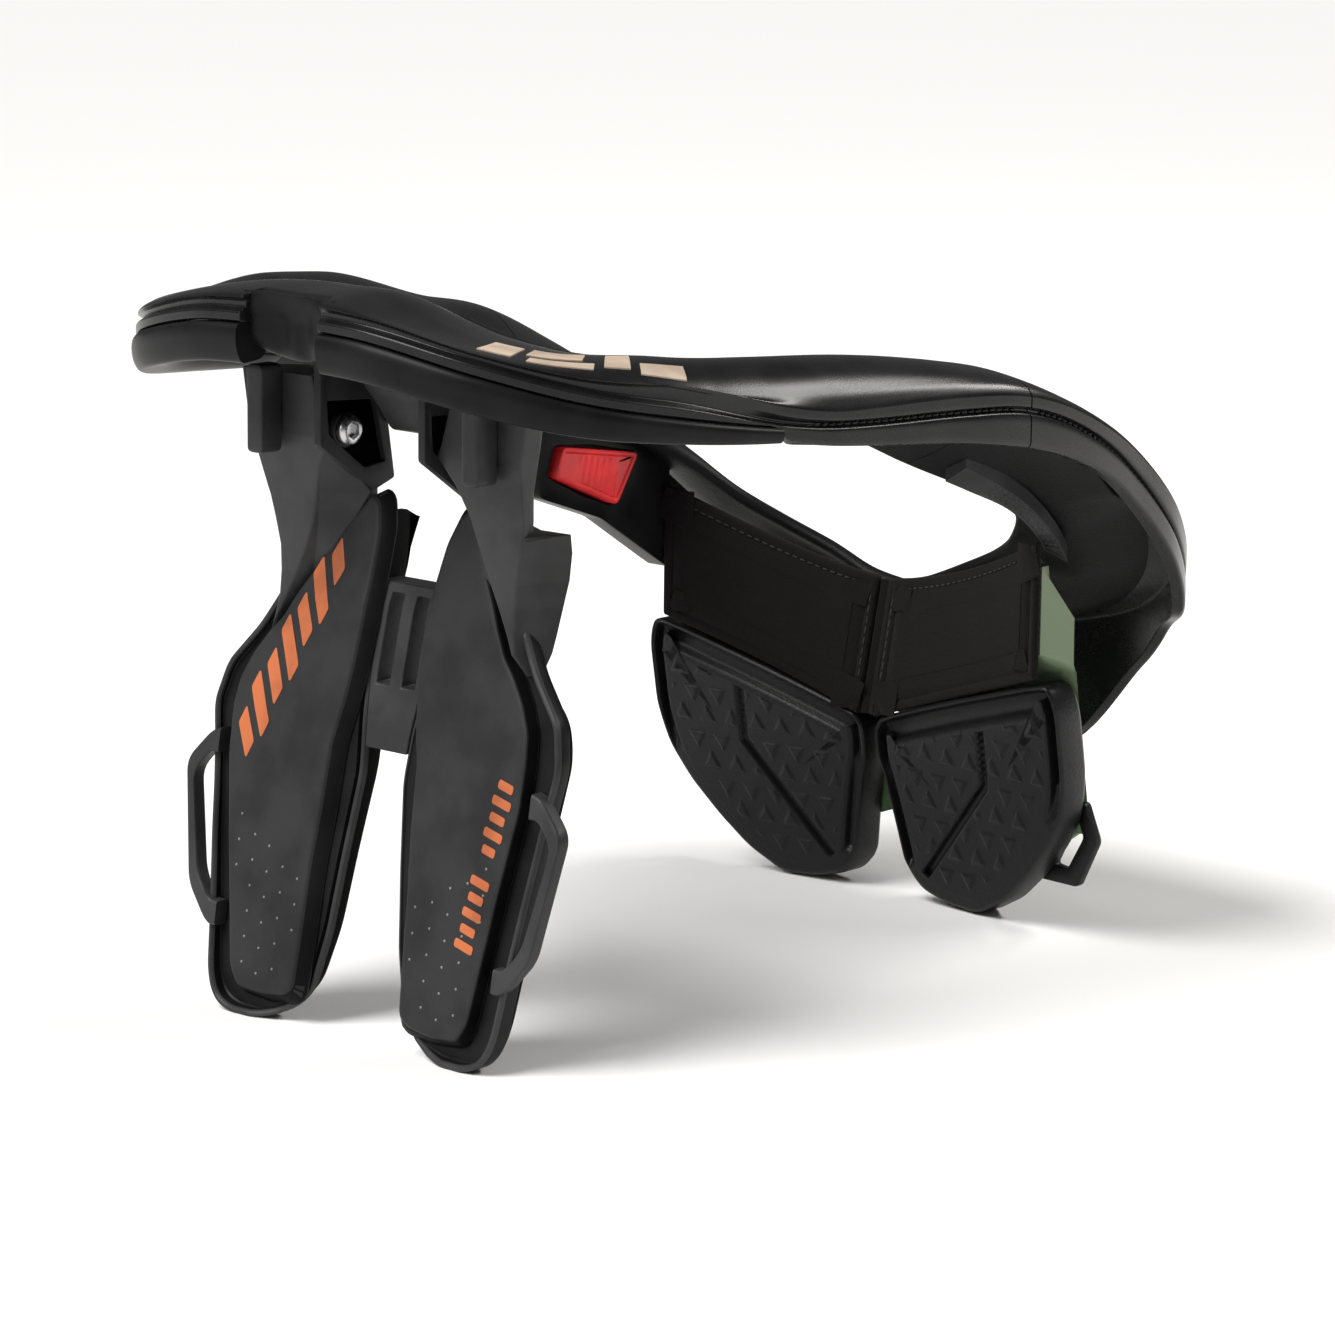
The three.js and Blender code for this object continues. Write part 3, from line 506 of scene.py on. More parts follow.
# Rear wall from its foot up: depth and millimetres above the sill, then depth and share of the recess.
RIDGE = [(0.8, 0), (-0.8, 0.5), (-1.5, 1.2), (-1.6, 2.2), (-0.8, 3.2), (1.3, 3.9)]
RECESS = [(2.2, 0), (2.2, 0.25), (2.1, 0.5), (1.4, 0.72), (0.4, 0.9)]
# Shoulder above the crease: share of its depth and share of the rise to the crest.
SHOULDER = ((0.06, 0.22), (0.25, 0.62), (0.60, 0.92))


def frame_skin(t):
    """Hard shell: lower rib, sewn groove, upper rib, shoulder, table; at the rear a ridge under a recess."""
    s = Stations(t)
    near_notch = 1 - ease(NOTCH_HALF - 0.8, NOTCH_HALF + 0.8, np.abs(s.start[:, 1]))
    notch = NOTCH_DEPTH * near_notch * (s.start[:, 0] < 0)
    foot, groove, crease = wall_lines(s)
    front = 1 - ease(0.30, 0.36, s.back)
    low, high, recess = groove - foot, crease - groove, s.sill + 4.6
    ribs = [(0.8, foot), (-0.6, foot + 0.12 * low), (-1.5, foot + 0.45 * low), (-1.2, foot + 0.75 * low),
            (0.3, groove - 1.0), (1.9, groove - 0.45), (1.9, groove + 0.45), (0.3, groove + 1.2),
            (-1.0, groove + 0.25 * high), (-1.3, groove + 0.6 * high), (-0.7, crease - 1)]
    ridge = [(depth, s.sill + up) for depth, up in RIDGE]
    ridge += [(depth, fade(recess, s.edge, share)) for depth, share in RECESS]
    outside = [(fade(a, b, front), fade(p, q, front)) for (a, p), (b, q) in zip(ridge, ribs)]
    outside += [(share * s.shoulder + 0.4, fade(crease, s.crest, rise)) for share, rise in SHOULDER]
    outside += [(s.shoulder, s.crest), (s.bench, s.bench_z), (s.brink, s.brink_z)]
    inside = [(s.brink, s.brink_z - WALL), (s.bench, s.bench_z - WALL), (s.shoulder, s.crest - WALL),
              (0.5 * s.shoulder + 1, fade(s.edge, s.crest, 0.7) - WALL), (WALL, s.edge - WALL), (WALL, foot)]
    outside = [(np.maximum(depth, notch), z) for depth, z in outside]
    inside = [(np.maximum(depth, notch + 2.5 * near_notch), z) for depth, z in inside]
    reach = [0.9, 0.8, 1.2, 1.2, 0.6, 0.4, 0.4, 0.6, 1.5, 2, 1.5, 1.4, 3, 5, 8, 8, 1.2, 1.2, 6, 6, 5, 1, 0.6]
    return tube(rounded(s.section(*outside, *inside), reach, 4))


def pad_skin(t, edge_depth):
    """Soft pad inside the shell: from under its shoulder down to the rounded lip at the neck."""
    s = Stations(t)
    under = WALL + GAP
    floor_z = np.maximum(s.sill + 2, s.lip + 2)
    start, start_z, belly_z = s.under(edge_depth, fade(BELLY_FRONT, BELLY_REAR, ease(0.18, 0.26, s.back)))
    corners = s.section(
        (start, np.minimum(start_z, floor_z + 4)), (start, start_z),
        (np.maximum(s.shoulder, start + 1), s.crest - under - 0.5),
        (np.maximum(s.bench, start + 2), s.bench_z - under - 0.2),
        (s.brink + GAP, s.brink_z - under - 0.2), (s.brink + GAP, s.brink_z),
        (s.brink + 4, fade(s.brink_z, s.lip_top, 0.10)),
        (s.span - 4, fade(s.brink_z, s.lip_top, 0.90)), (s.span, s.lip_top - 3), (s.span, s.lip + 2),
        (s.span - 3, s.lip), (fade(start, s.span, 0.6), belly_z))
    reach = [1, 1, 3, 3, 1, 0.8, 2, 6, 3, 2, 3, 8]
    return tube(rounded(corners, reach, 3))


def rail_skin(t):
    """Rail under the outer wall: rounded block, deep at the rear, with a step line along its face."""
    s = Stations(t)
    along = np.clip((s.start[:, 0] - REAR_EDGE) / (RAIL_END - REAR_EDGE), 0, 1)
    height = fade(RAIL_REAR, RAIL_FRONT, along)
    top = s.sill - GAP
    corners = s.section((-0.2, top), (-1.2, top - 0.10 * height), (-1.6, top - 0.35 * height),
                        (-0.9, top - 0.72 * height), (0.9, top - height), (RAIL_DEPTH - 4, top - height + 1),
                        (RAIL_DEPTH, top))
    return tube(rounded(corners, [0.6, 1, 2, 1.6, 1.6, 3, 1], 4))


rail_share = ring_share(RAIL_END)
split = collar_x(SPLIT_ALONG)
rear_from = ring_share(split - SPLIT_GAP / 2)
front_to = ring_share(split + SPLIT_GAP / 2)
notch_edge = np.interp([-NOTCH_HALF - 1, -NOTCH_HALF + 1, NOTCH_HALF - 1, NOTCH_HALF + 1], notch_y, NOTCH_T)
rear_t = np.unique(np.concatenate([
    np.linspace(rear_from, 1 - rear_from, 300),
    np.linspace(notch_edge[0], notch_edge[1], 9), np.linspace(notch_edge[2], notch_edge[3], 9)]))
# The front half runs through the ring's end, so its two arms are one line of stations.
front_whole = np.concatenate([np.linspace(front_to, 0, 90), np.linspace(1, 1 - front_to, 90)[1:]])
assemble("rear_collar_frame_skin", [frame_skin(rear_t)], satin, "rear", "satin_shell", ["rear_collar_frame"])
assemble("front_collar_frame_skin", [frame_skin(front_whole)], satin, "front", "satin_shell",
         ["front_collar_frame"])
beyond = Stations(rear_t).start[:, 0] - RAIL_END
rear_depth = fade(RAIL_DEPTH, WALL, np.clip((beyond - 4) / 20, 0, 1))
assemble("rear_collar_pad_skin", [pad_skin(rear_t, rear_depth)], padding, "rear", "matt_pad",
         ["rear_collar_pad"], fill=0.7)
assemble("front_collar_pad_skin", [pad_skin(front_whole, WALL)], padding, "front", "matt_pad",
         ["front_collar_pad"], fill=0.7)
rail_t = np.linspace(len(COLLAR) / LAST, 1 - rail_share, 90)
assemble_pair("collar_rail", [rail_skin(rail_t)], railed, "rear", "satin_shell")


SADDLE_OVER, SADDLE_HANG, SADDLE_ARCH, SADDLE_RIBS = 3.5, 11.5, 3.5, 9.0


def saddle():
    """Block across the notch between the rails: its lower edge hangs, its rear face is faintly ribbed."""
    y = np.linspace(-NOTCH_HALF - SADDLE_OVER, NOTCH_HALF + SADDLE_OVER, 60)
    s = Stations(np.interp(y, notch_y, NOTCH_T))
    rib = 0.4 * np.cos(np.abs(y) * math.tau / SADDLE_RIBS)
    hang = SADDLE_HANG - SADDLE_ARCH * (np.abs(y) / NOTCH_HALF) ** 2
    near = 6.5 - 2.2 * ease(6, NOTCH_HALF, np.abs(y))
    rows = s.section((4.2, fade(s.edge, s.crest, 0.5)), (0.8 * near, s.sill + 4),
                     (near - rib * 0.4, s.sill + 1), (near - rib * 0.5, s.sill - 3),
                     (near + 0.4 - rib * 0.3, s.sill - 0.75 * hang), (near + 2.4, s.sill - hang),
                     (near + 9, s.sill - hang + 1.5), (near + 10, s.sill + 3),
                     (10, fade(s.edge, s.crest, 0.4)))
    return tube(rounded(rows, [0.6, 3, 1, 2, 1.6, 1.2, 1.2, 0.6, 0.6], 3))


assemble("rear_saddle", [saddle()], railed, "rear", "satin_shell")


def threads(path, lay, sides, pitch, length, radius):
    """Short threads along a path, each a six-sided bar thinner at its ends and half sunk in its surface.

    lay puts points of the path in space, and sides gives the two directions across a thread from its own.
    """
    travelled = np.append(0, np.cumsum(np.linalg.norm(np.diff(path, axis=0), axis=1)))
    turn = np.arange(6)[:, None] * math.tau / 6
    girth = radius * np.array([0.35, 0.9, 1, 0.9, 0.35])[:, None, None]
    parts = []
    for start in np.arange(0.5 * pitch, travelled[-1] - length, pitch):
        place = start + length * np.array([0, 0.15, 0.5, 0.85, 1])
        middle = lay(np.stack([np.interp(place, travelled, column) for column in path.T], 1))
        along = middle[-1] - middle[0]
        side, out = sides(along / np.linalg.norm(along))
        parts.append(tube(middle[:, None] + girth * (np.cos(turn) * side + np.sin(turn) * out)[None]))
    return parts


# Pitch, length and radius of the threads.
WALL_THREAD, HEM_THREAD, SIDE_THREAD = (3.1, 2.1, 0.33), (3.0, 2.0, 0.28), (3.6, 2.6, 0.32)


def wall_sides(along):
    out = np.array([along[1], -along[0], 0])
    return np.cross(along, out), out


def wall_stitches(start, end):
    """Threads in the collar's sewn groove, on both sides of the brace."""
    s = Stations(np.linspace(start, end, 900))
    right = threads(s.at(1.55, wall_lines(s)[1] + 0.05), lambda points: points, wall_sides, *WALL_THREAD)
    return right + mirror(right)


# Rear struts

# Side view of a strut's rear face: share of its height, share of its lean.
LEAN = np.array([[0, 1], [0.068, 0.972], [0.27, 0.885], [0.473, 0.785], [0.65, 0.67], [0.81, 0.514],
                 [1, 0.35]])
# Face of the raised pad: shares of the strut span and height, from its inner foot up to its pointed top.
COVER = np.array([
    [0.315, 0.064], [0.298, 0.17], [0.29, 0.246], [0.265, 0.34], [0.252, 0.44], [0.215, 0.5], [0.195, 0.56],
    [0.182, 0.63], [0.184, 0.7], [0.198, 0.76], [0.235, 0.8], [0.284, 0.813], [0.382, 0.766], [0.44, 0.728],
    [0.518, 0.686], [0.572, 0.655], [0.64, 0.613], [0.7, 0.59], [0.776, 0.552], [0.83, 0.512],
    [0.845, 0.47], [0.84, 0.4], [0.785, 0.28], [0.735, 0.17], [0.692, 0.075], [0.64, 0.046], [0.5, 0.043],
    [0.37, 0.05]])
# Plate and back pad: share of the height, inner and outer share of the span.
PLATE_ROWS = np.array([
    [0.0, 0.53, 0.68], [0.01, 0.43, 0.76], [0.03, 0.33, 0.81], [0.06, 0.26, 0.84], [0.15, 0.20, 0.87],
    [0.40, 0.115, 0.967], [0.465, 0.13, 1.0], [0.53, 0.15, 0.955], [0.595, 0.165, 0.80], [0.69, 0.20, 0.64],
    [0.80, 0.25, 0.50]])
BACK = np.array([
    [0.01, 0.50, 0.69], [0.02, 0.40, 0.76], [0.06, 0.29, 0.80], [0.15, 0.22, 0.83], [0.40, 0.14, 0.91],
    [0.465, 0.15, 0.93], [0.52, 0.17, 0.88], [0.555, 0.185, 0.78], [0.56, 0.185, 0.335], [0.62, 0.19, 0.32],
    [0.70, 0.20, 0.31], [0.76, 0.24, 0.305], [0.785, 0.27, 0.30]])


def lean(z):
    """Place of the strut's rear face at a height: straight stretches between the LEAN rows."""
    return -STRUT_LEAN * np.interp(np.asarray(z) / STRUT_HEIGHT, LEAN[:, 0], LEAN[:, 1])


def strut_place(y, z, height):
    return stack(lean(z) + height, y, z)


def strut_outline(rows, reach):
    """Closed line up the outer sides and down the inner sides of the rows, with its corners rounded."""
    up = rows[:, 0] * STRUT_HEIGHT
    outer, inner = rows[:, 2] * STRUT_SPAN, rows[:, 1] * STRUT_SPAN
    line = np.vstack([stack(outer, up), stack(inner, up)[::-1]])
    return outlined(line, reach, 5, 260)


def strut_spine(rows, outline, margin=12):
    """For every outline point, the point halfway across the strut at its height."""
    up = rows[:, 0] * STRUT_HEIGHT
    z = np.clip(outline[:, 1], up[0] + margin, up[-1] - margin)
    middle = (rows[:, 1] + rows[:, 2]) / 2 * STRUT_SPAN
    return stack(np.interp(z, up, middle), z)


tray_floor = PAD + GAP
tray_front = tray_floor + PLATE
PLATE_REACH = 3.5


def rim_height(y, z, inward):
    """Depth of the rim's top: near the rear face on the outer side and sunk on the inner side."""
    return fade(tray_floor - fade(PAD - 0.5, RIM_RISE, np.minimum(z / FOLD, 1)), tray_floor + 0.6,
                ease(-0.1, 0.8, inward[:, 0]))


def above(rise):
    return lambda y, z, inward: rim_height(y, z, inward) + rise


def tray():
    """Plate of a strut: flat floor inside a rounded rim."""
    outline = strut_outline(PLATE_ROWS, PLATE_REACH)
    spine = strut_spine(PLATE_ROWS, outline)
    steps = [(0, 1, tray_front), (0, 0.5, tray_front), (1.2, 0, tray_front), (0.35, 0, tray_front - 0.35),
             (0, 0, tray_front - 1.2), (0, 0, above(1.0)), (0.15, 0, above(0.35)), (0.6, 0, above(0)),
             (1.25, 0, above(0)), (1.75, 0, above(0.35)), (RIM, 0, above(1.0)), (RIM, 0, tray_floor - 0.5),
             (RIM + 0.5, 0, tray_floor), (0, 0.5, tray_floor), (0, 1, tray_floor)]
    return slab(outline, spine, steps, strut_place)


def rim():
    """Painted highlight: a copy of the tray's rim a hair outside it, in the lighter strut plastic."""
    outline = strut_outline(PLATE_ROWS, PLATE_REACH)
    face = [(-0.08, 0, above(1.5)), (-0.08, 0, above(0.95)), (0.1, 0, above(0.25)), (0.6, 0, above(-0.1)),
            (1.25, 0, above(-0.1)), (1.8, 0, above(0.3)), (RIM + 0.08, 0, above(1.0)), (1.2, 0, above(1.5))]
    return slab(outline, outline, face + face[:1], strut_place)


# Horn sections: share of the height, then [share of the lean, share of the span] for rear outer, rear crease,
# foot of the facet, end of the facet, front inner, front middle and front outer.
HORN = np.array([
    [1, 0.75, 0.82, 0.75, 0.4, 0.73, 0.398, 0.71, 0.395, 0.51, 0.42, 0.51, 0.66, 0.64, 0.82],
    [0.93, 0.748, 0.79, 0.748, 0.343, 0.735, 0.342, 0.72, 0.341, 0.51, 0.37, 0.51, 0.66, 0.63, 0.78],
    [0.906, 0.742, 0.775, 0.742, 0.313, 0.74, 0.311, 0.738, 0.309, 0.52, 0.33, 0.51, 0.62, 0.62, 0.76],
    [0.862, 0.715, 0.76, 0.715, 0.399, 0.708, 0.39, 0.629, 0.301, 0.47, 0.325, 0.46, 0.56, 0.6, 0.72],
    [0.817, 0.684, 0.742, 0.684, 0.442, 0.672, 0.436, 0.513, 0.288, 0.43, 0.325, 0.43, 0.56, 0.58, 0.7],
    [0.8, 0.676, 0.73, 0.676, 0.455, 0.662, 0.447, 0.535, 0.31, 0.43, 0.325, 0.43, 0.56, 0.58, 0.695],
    [0.792, 0.674, 0.725, 0.674, 0.462, 0.66, 0.452, 0.54, 0.32, 0.43, 0.325, 0.4, 0.56, 0.39, 0.74],
    [0.765, 0.668, 0.708, 0.668, 0.486, 0.64, 0.474, 0.55, 0.37, 0.45, 0.33, 0.41, 0.55, 0.39, 0.75],
    [0.725, 0.664, 0.682, 0.664, 0.531, 0.62, 0.505, 0.59, 0.43, 0.5, 0.34, 0.44, 0.53, 0.41, 0.755],
    [0.685, 0.665, 0.677, 0.665, 0.585, 0.6, 0.545, 0.575, 0.5, 0.55, 0.37, 0.49, 0.51, 0.45, 0.757],
    [0.646, 0.674, 0.678, 0.674, 0.64, 0.6, 0.6, 0.585, 0.56, 0.57, 0.44, 0.54, 0.52, 0.49, 0.76],
    [0.62, 0.683, 0.69, 0.683, 0.672, 0.61, 0.65, 0.6, 0.62, 0.59, 0.5, 0.56, 0.55, 0.53, 0.77],
    [0.59, 0.66, 0.74, 0.65, 0.73, 0.62, 0.7, 0.62, 0.68, 0.61, 0.6, 0.6, 0.62, 0.59, 0.77]])


def horn():
    """Loft through the horn's corners, its sections filled in between the rows and their corners rounded."""
    up = HORN[::-1, 0]
    corners = HORN[::-1, 1:].reshape(len(up), -1, 2)
    heights = np.unique(np.concatenate([np.linspace(up[0], up[-1], 60), up]))
    filled = np.stack([[np.interp(heights, up, corners[:, k, m]) for m in (0, 1)]
                       for k in range(corners.shape[1])])
    back, side = filled[:, 0].T, filled[:, 1].T
    points = stack(-STRUT_LEAN * back, STRUT_SPAN * side, STRUT_HEIGHT * heights[:, None])
    return tube(rounded(points, [1.2, 0.7, 0.4, 0.5, 1.2, 1.2, 1.2], 3))


def strap_loop():
    """Bent flat bar outside the plate: its two edge lines, rounded at the bends, with a rounded section."""
    root_top, root_bottom = 0.955 * STRUT_SPAN, 0.86 * STRUT_SPAN
    bend = 0.75 * LOOP_REACH
    side = np.array([root_top - LOOP_ROOT, root_top, root_top + LOOP_REACH,
                     root_bottom + LOOP_REACH, root_bottom, root_bottom - LOOP_ROOT])
    up = np.array([LOOP_TOP, LOOP_TOP, LOOP_TOP - bend, LOOP_BOTTOM + bend, LOOP_BOTTOM, LOOP_BOTTOM])
    outer = stack(side, up + [4, 3, 0, 0, -4, -4])
    inner = stack(side - LOOP_BAR * np.array([0, 0, 1, 1, 0, 0]),
                  up + LOOP_BAR * np.array([-1, -1, -1, 1, 1, 1]))
    outer, inner = (rounded(line, 4, 5, closed=False) for line in (outer, inner))
    rear = PAD - 2 * RIM_RISE
    front = rear + LOOP_THICKNESS
    corners = [strut_place(*line.T, height)
               for line, height in ((outer, rear), (outer, front), (inner, front), (inner, rear))]
    return tube(rounded(np.stack(corners, 1), 1.0, 3))


# rim() lays a painted highlight over each tray's rim
assemble_pair("strut_arm", [horn(), strap_loop(), rim()], ribbed, "rear", "strut_plastic", angle=32)
assemble_pair("strut_plate", [tray()], plated, "rear", "strut_plastic", node="strut_arm", angle=32)


def slope(share, out=0.0):
    """Inset of the cover's wall, share of the way from its face down to its foot, and out beyond it."""
    return lambda inward: -out - share * (
        1.0 + 2.4 * ease(-0.2, 0.8, inward[:, 0]) + 2.2 * ease(0.3, 0.9, inward[:, 1]))


def cover_outline():
    return outlined(COVER * [STRUT_SPAN, STRUT_HEIGHT], 1.6, 3, 300)


def cover():
    """Raised pad on the plate: flat face, slanted walls that are widest on the inner side and at the foot."""
    outline = cover_outline()
    low, high = 0.12 * STRUT_HEIGHT, 0.70 * STRUT_HEIGHT
    z = np.clip(outline[:, 1], low, high)
    spine = stack(np.interp(z, [low, high], [0.5 * STRUT_SPAN, 0.33 * STRUT_SPAN]), z)
    steps = [(0, 1, PAD), (0, 0.4, PAD), (slope(1), 0, PAD), (slope(0.97), 0, PAD - 0.5),
             (slope(0.12), 0, 0.8), (slope(0.03), 0, 0.4), (0.35, 0, 0.12), (0.9, 0, 0.02), (1.8, 0, 0),
             (0, 0.3, 0), (0, 0.65, 0), (0, 1, 0)]
    return slab(outline, spine, steps, strut_place)


def cover_wall_shade():
    """Painted shade: a dark band a hair outside the cover's slanted walls, where shade falls on them."""
    outline = cover_outline()
    band = [(slope(0.16, 0.07), 0, 0.95), (slope(0.97, 0.07), 0, PAD - 0.5),
            (slope(0.97, -0.4), 0, PAD - 0.5), (slope(0.16, -0.4), 0, 0.95)]
    return slab(outline, outline, band + band[:1], strut_place)


# the strut covers' walls darkened by a band of painted shade
assemble_pair("strut_wall_shade", [cover_wall_shade()], wall_shade, "rear", "strut_plastic", node=None, angle=60)


BEAD_RADIUS, BEAD_RISE, BEAD_LIFT = 0.48, 0.34, 0.02
BEAD_PITCH, BEAD_ROW, BEAD_STAGGER, BEAD_FOOT, BEAD_MARGIN = 6.9, 8.1, 2.6, 14.5, 3


def beads(points):
    """Low round pimples on the cover: rings of a dome, radius*cos(a) wide and rise*sin(a) high."""
    turn = np.arange(8) * math.tau / 8
    parts = []
    for y, z in points:
        rings = []
        for a in (-0.3, 0.3, 0.8, 1.2):
            radius = BEAD_RADIUS * math.cos(a)
            rings.append(strut_place(y + radius * np.cos(turn), z + radius * np.sin(turn),
                                     BEAD_LIFT - BEAD_RISE * math.sin(a)))
        parts.append(tube(np.stack(rings)))
    return parts


def cover_beads():
    """Staggered rows over the lower third of the cover, those inside its face only."""
    found = []
    edge = COVER * [STRUT_SPAN, STRUT_HEIGHT]
    for row in range(8):
        for column in range(5):
            y = 0.345 * STRUT_SPAN + BEAD_PITCH * column
            z = BEAD_FOOT + BEAD_ROW * row + BEAD_STAGGER * (column % 2)
            inner, outer = (np.interp(z, side[:, 1], side[:, 0]) for side in (edge[:6], edge[:19:-1]))
            if inner + BEAD_MARGIN < y < outer - BEAD_MARGIN and z < 38 + 0.5 * y:
                found.append((y, z))
    return found


assemble_pair("strut_cover", [cover()], dull, "rear", "strut_plastic", angle=30)
assemble_pair("strut_beads", beads(cover_beads()), dot, "rear", "strut_plastic", node=None)


def back_pad():
    """Soft pad on the wearer's side: thicker upwards, with generous rounded edges."""
    outline = strut_outline(BACK, 5)
    spine = strut_spine(BACK, outline, 8)
    rear = tray_front + GAP

    def out(share):
        return lambda y, z, inward: rear + share * fade(
            FOAM_FOOT, FOAM, np.clip(z / (0.8 * STRUT_HEIGHT), 0, 1))

    steps = [(0, 1, rear), (0, 0.5, rear), (0.6, 0, rear), (0.1, 0, rear + 0.4), (0, 0, out(0.25)),
             (0.1, 0, out(0.5)), (0.7, 0, out(0.74)), (1.8, 0, out(0.9)), (3.2, 0, out(0.985)),
             (5, 0, out(1)), (0, 0.55, out(1)), (0, 1, out(1))]
    return slab(outline, spine, steps, strut_place)


assemble_pair("back_pad", [back_pad()], soft, "rear", "foam_fabric", fill=0.8)


def softened(soft, depth):
    """Steps over the side of a plate, its two edges rounded."""
    return [(soft, 0, 0), (0.3 * soft, 0, 0.3 * soft), (0, 0, soft), (0, 0, depth - soft),
            (0.3 * soft, 0, depth - 0.3 * soft), (soft, 0, depth)]


def block(x, y, z, reach):
    """Box with all its corners rounded: an even outline with an inset top and bottom."""
    corners = np.array([[y[0], z[0]], [y[1], z[0]], [y[1], z[1]], [y[0], z[1]]])
    outline = outlined(corners, 2 * reach, 4, 64)
    spine = np.broadcast_to([sum(y) / 2, sum(z) / 2], outline.shape)
    depth = x[1] - x[0]
    steps = [(0, 1, 0), (2 * reach, 0, 0), *softened(reach, depth), (2 * reach, 0, depth), (0, 1, depth)]
    return slab(outline, spine, steps, lambda a, b, height: stack(x[0] + height, a, b))


CLIP_WIDTH, CLIP_DEPTH, CLIP_HEIGHT, CLIP_RISE = 7.0, 9.0, 28.0, 3.0
clip_side = 0.57 * STRUT_SPAN
clip_front = -0.75 * STRUT_LEAN - GAP
clip_top = STRUT_HEIGHT + CLIP_RISE
assemble_pair("strut_clip", [block((clip_front - CLIP_DEPTH, clip_front), (clip_side, clip_side + CLIP_WIDTH),
                                   (clip_top - CLIP_HEIGHT, clip_top), 0.9)], ribbed, "rear", "strut_plastic")

BRACKET_PLACE, BRACKET = 21.0, 3.0
SCREW_HEAD, SCREW_DEPTH = 9.5, 3.0


def side_view(rows):
    """Places in a strut's side view from shares of its lean and of its height."""
    return np.array([[-STRUT_LEAN * back, STRUT_HEIGHT * up] for back, up in rows])


def ringed(lines, soft):
    """Skin between four matching lines that go once round a window."""
    grid = rounded(np.stack(lines, 1), soft, 2)
    return grid.reshape(-1, 3), quads(*grid.shape[:2], round_rows=True)


def framed(outer, hole, near, far, reach, soft):
    """Flat plate with a window: outer and hole lines have matching corners."""
    outer, hole = (rounded(line, reach, 4) for line in (outer, hole))
    sides = ((outer, near), (outer, far), (hole, far), (hole, near))
    return ringed([stack(line[:, 0], y, line[:, 1]) for line, y in sides], soft)


def prism(outline, near, far, reach, soft):
    """Plate of a side view outline between two places on Y, with rounded corners and edges."""
    loop = outlined(outline, reach, 4, 120)
    depth = far - near
    steps = [(0, 1, 0), (0, 0.5, 0), *softened(soft, depth), (0, 0.5, depth), (0, 1, depth)]
    return slab(loop, centred(loop), steps, lambda x, z, height: stack(x, near + height, z))


def turned(centre, rings, angles):
    """Skin of rings (radius, place on Y) about an axis along Y."""
    return tube(np.stack([stack(centre[0] + r * np.cos(angles), y, centre[1] + r * np.sin(angles))
                          for r, y in rings]))


bracket_outer = side_view([[0.82, 1.035], [0.47, 1.035], [0.38, 0.835], [0.5, 0.82], [0.82, 0.90]])
bracket_hole = side_view([[0.782, 0.968], [0.499, 0.961], [0.434, 0.862], [0.56, 0.857], [0.77, 0.915]])
screw_centre = side_view([[0.669, 0.92]])[0]


def boss():
    """Round seat of the screw: a flat ring with a bevelled rim."""
    rings = [(5.6, 2.8), (5.6, 0.3), (5.3, -0.1), (4.9, -0.1), (4.9, 0.6), (0.01, 0.6)]
    rings = [(radius, BRACKET_PLACE + depth) for radius, depth in rings]
    return turned(screw_centre, rings, np.arange(64) * math.tau / 64)


# Painted shade: a black plate closing the bracket's window from behind, where shade falls.
bracket_window_shade = side_view([[0.80, 0.98], [0.48, 0.98], [0.41, 0.85], [0.53, 0.843], [0.80, 0.91]])
assemble_pair("strut_bracket", [
    framed(bracket_outer, bracket_hole, BRACKET_PLACE, BRACKET_PLACE + BRACKET, 1, 0.4), boss()],
              dull, "rear", "strut_plastic")
assemble_pair("bracket_window_shade", [
    prism(bracket_window_shade, BRACKET_PLACE + 2.2, BRACKET_PLACE + BRACKET - 0.1, 1, 0.3)],
              recess, "rear", "strut_plastic", node=None)


def screw():
    """Pan head with a six-sided socket: rings around its axis from the plate to the socket floor."""
    turn = np.arange(60) * math.tau / 60
    radius = SCREW_HEAD / 2
    six = 0.5 * radius / np.cos((turn + math.pi / 6) % (math.pi / 3) - math.pi / 6)
    face = BRACKET_PLACE - GAP
    rings = [(radius, face), (radius, face - 1.2), (0.97 * radius, face - 1.9), (0.85 * radius, face - 2.6),
             (0.66 * radius, face - SCREW_DEPTH), (1.08 * six, face - SCREW_DEPTH), (six, face - 2.7),
             (six, face - 0.8), (0.01, face - 0.8)]
    return turned(screw_centre, rings, turn)


assemble_pair("strut_screw", [screw()], steel, "rear", "steel")

CARRIER_HEIGHT, CARRIER_HALF = 25.0, 11.0
carrier_reach = BRACKET_PLACE - GAP


def carrier(rows):
    """Side view outline of the carrier from shares of the lean and of the carrier's own height."""
    top = COLLAR[0, 5] * COLLAR_HEIGHT - 2 * GAP
    return np.array([[-STRUT_LEAN * back, top - (1 - up) * CARRIER_HEIGHT] for back, up in rows])


carrier_front = [(0.42, 1), (0.27, 0.76), (0.27, 0)]
carrier_long = carrier([(0.54, 0), (0.62, 0.33), (0.716, 0.65), (0.716, 1)] + carrier_front)
carrier_wide = carrier([(0.44, 0.02), (0.47, 0.5), (0.47, 1)] + carrier_front)
assemble("strut_carrier_skin", [prism(carrier_long, -CARRIER_HALF, CARRIER_HALF, 2, 0.7),
                                prism(carrier_wide, -carrier_reach, carrier_reach, 1.5, 0.7)], ribbed, "rear",
         "strut_plastic", ["strut_carrier"])


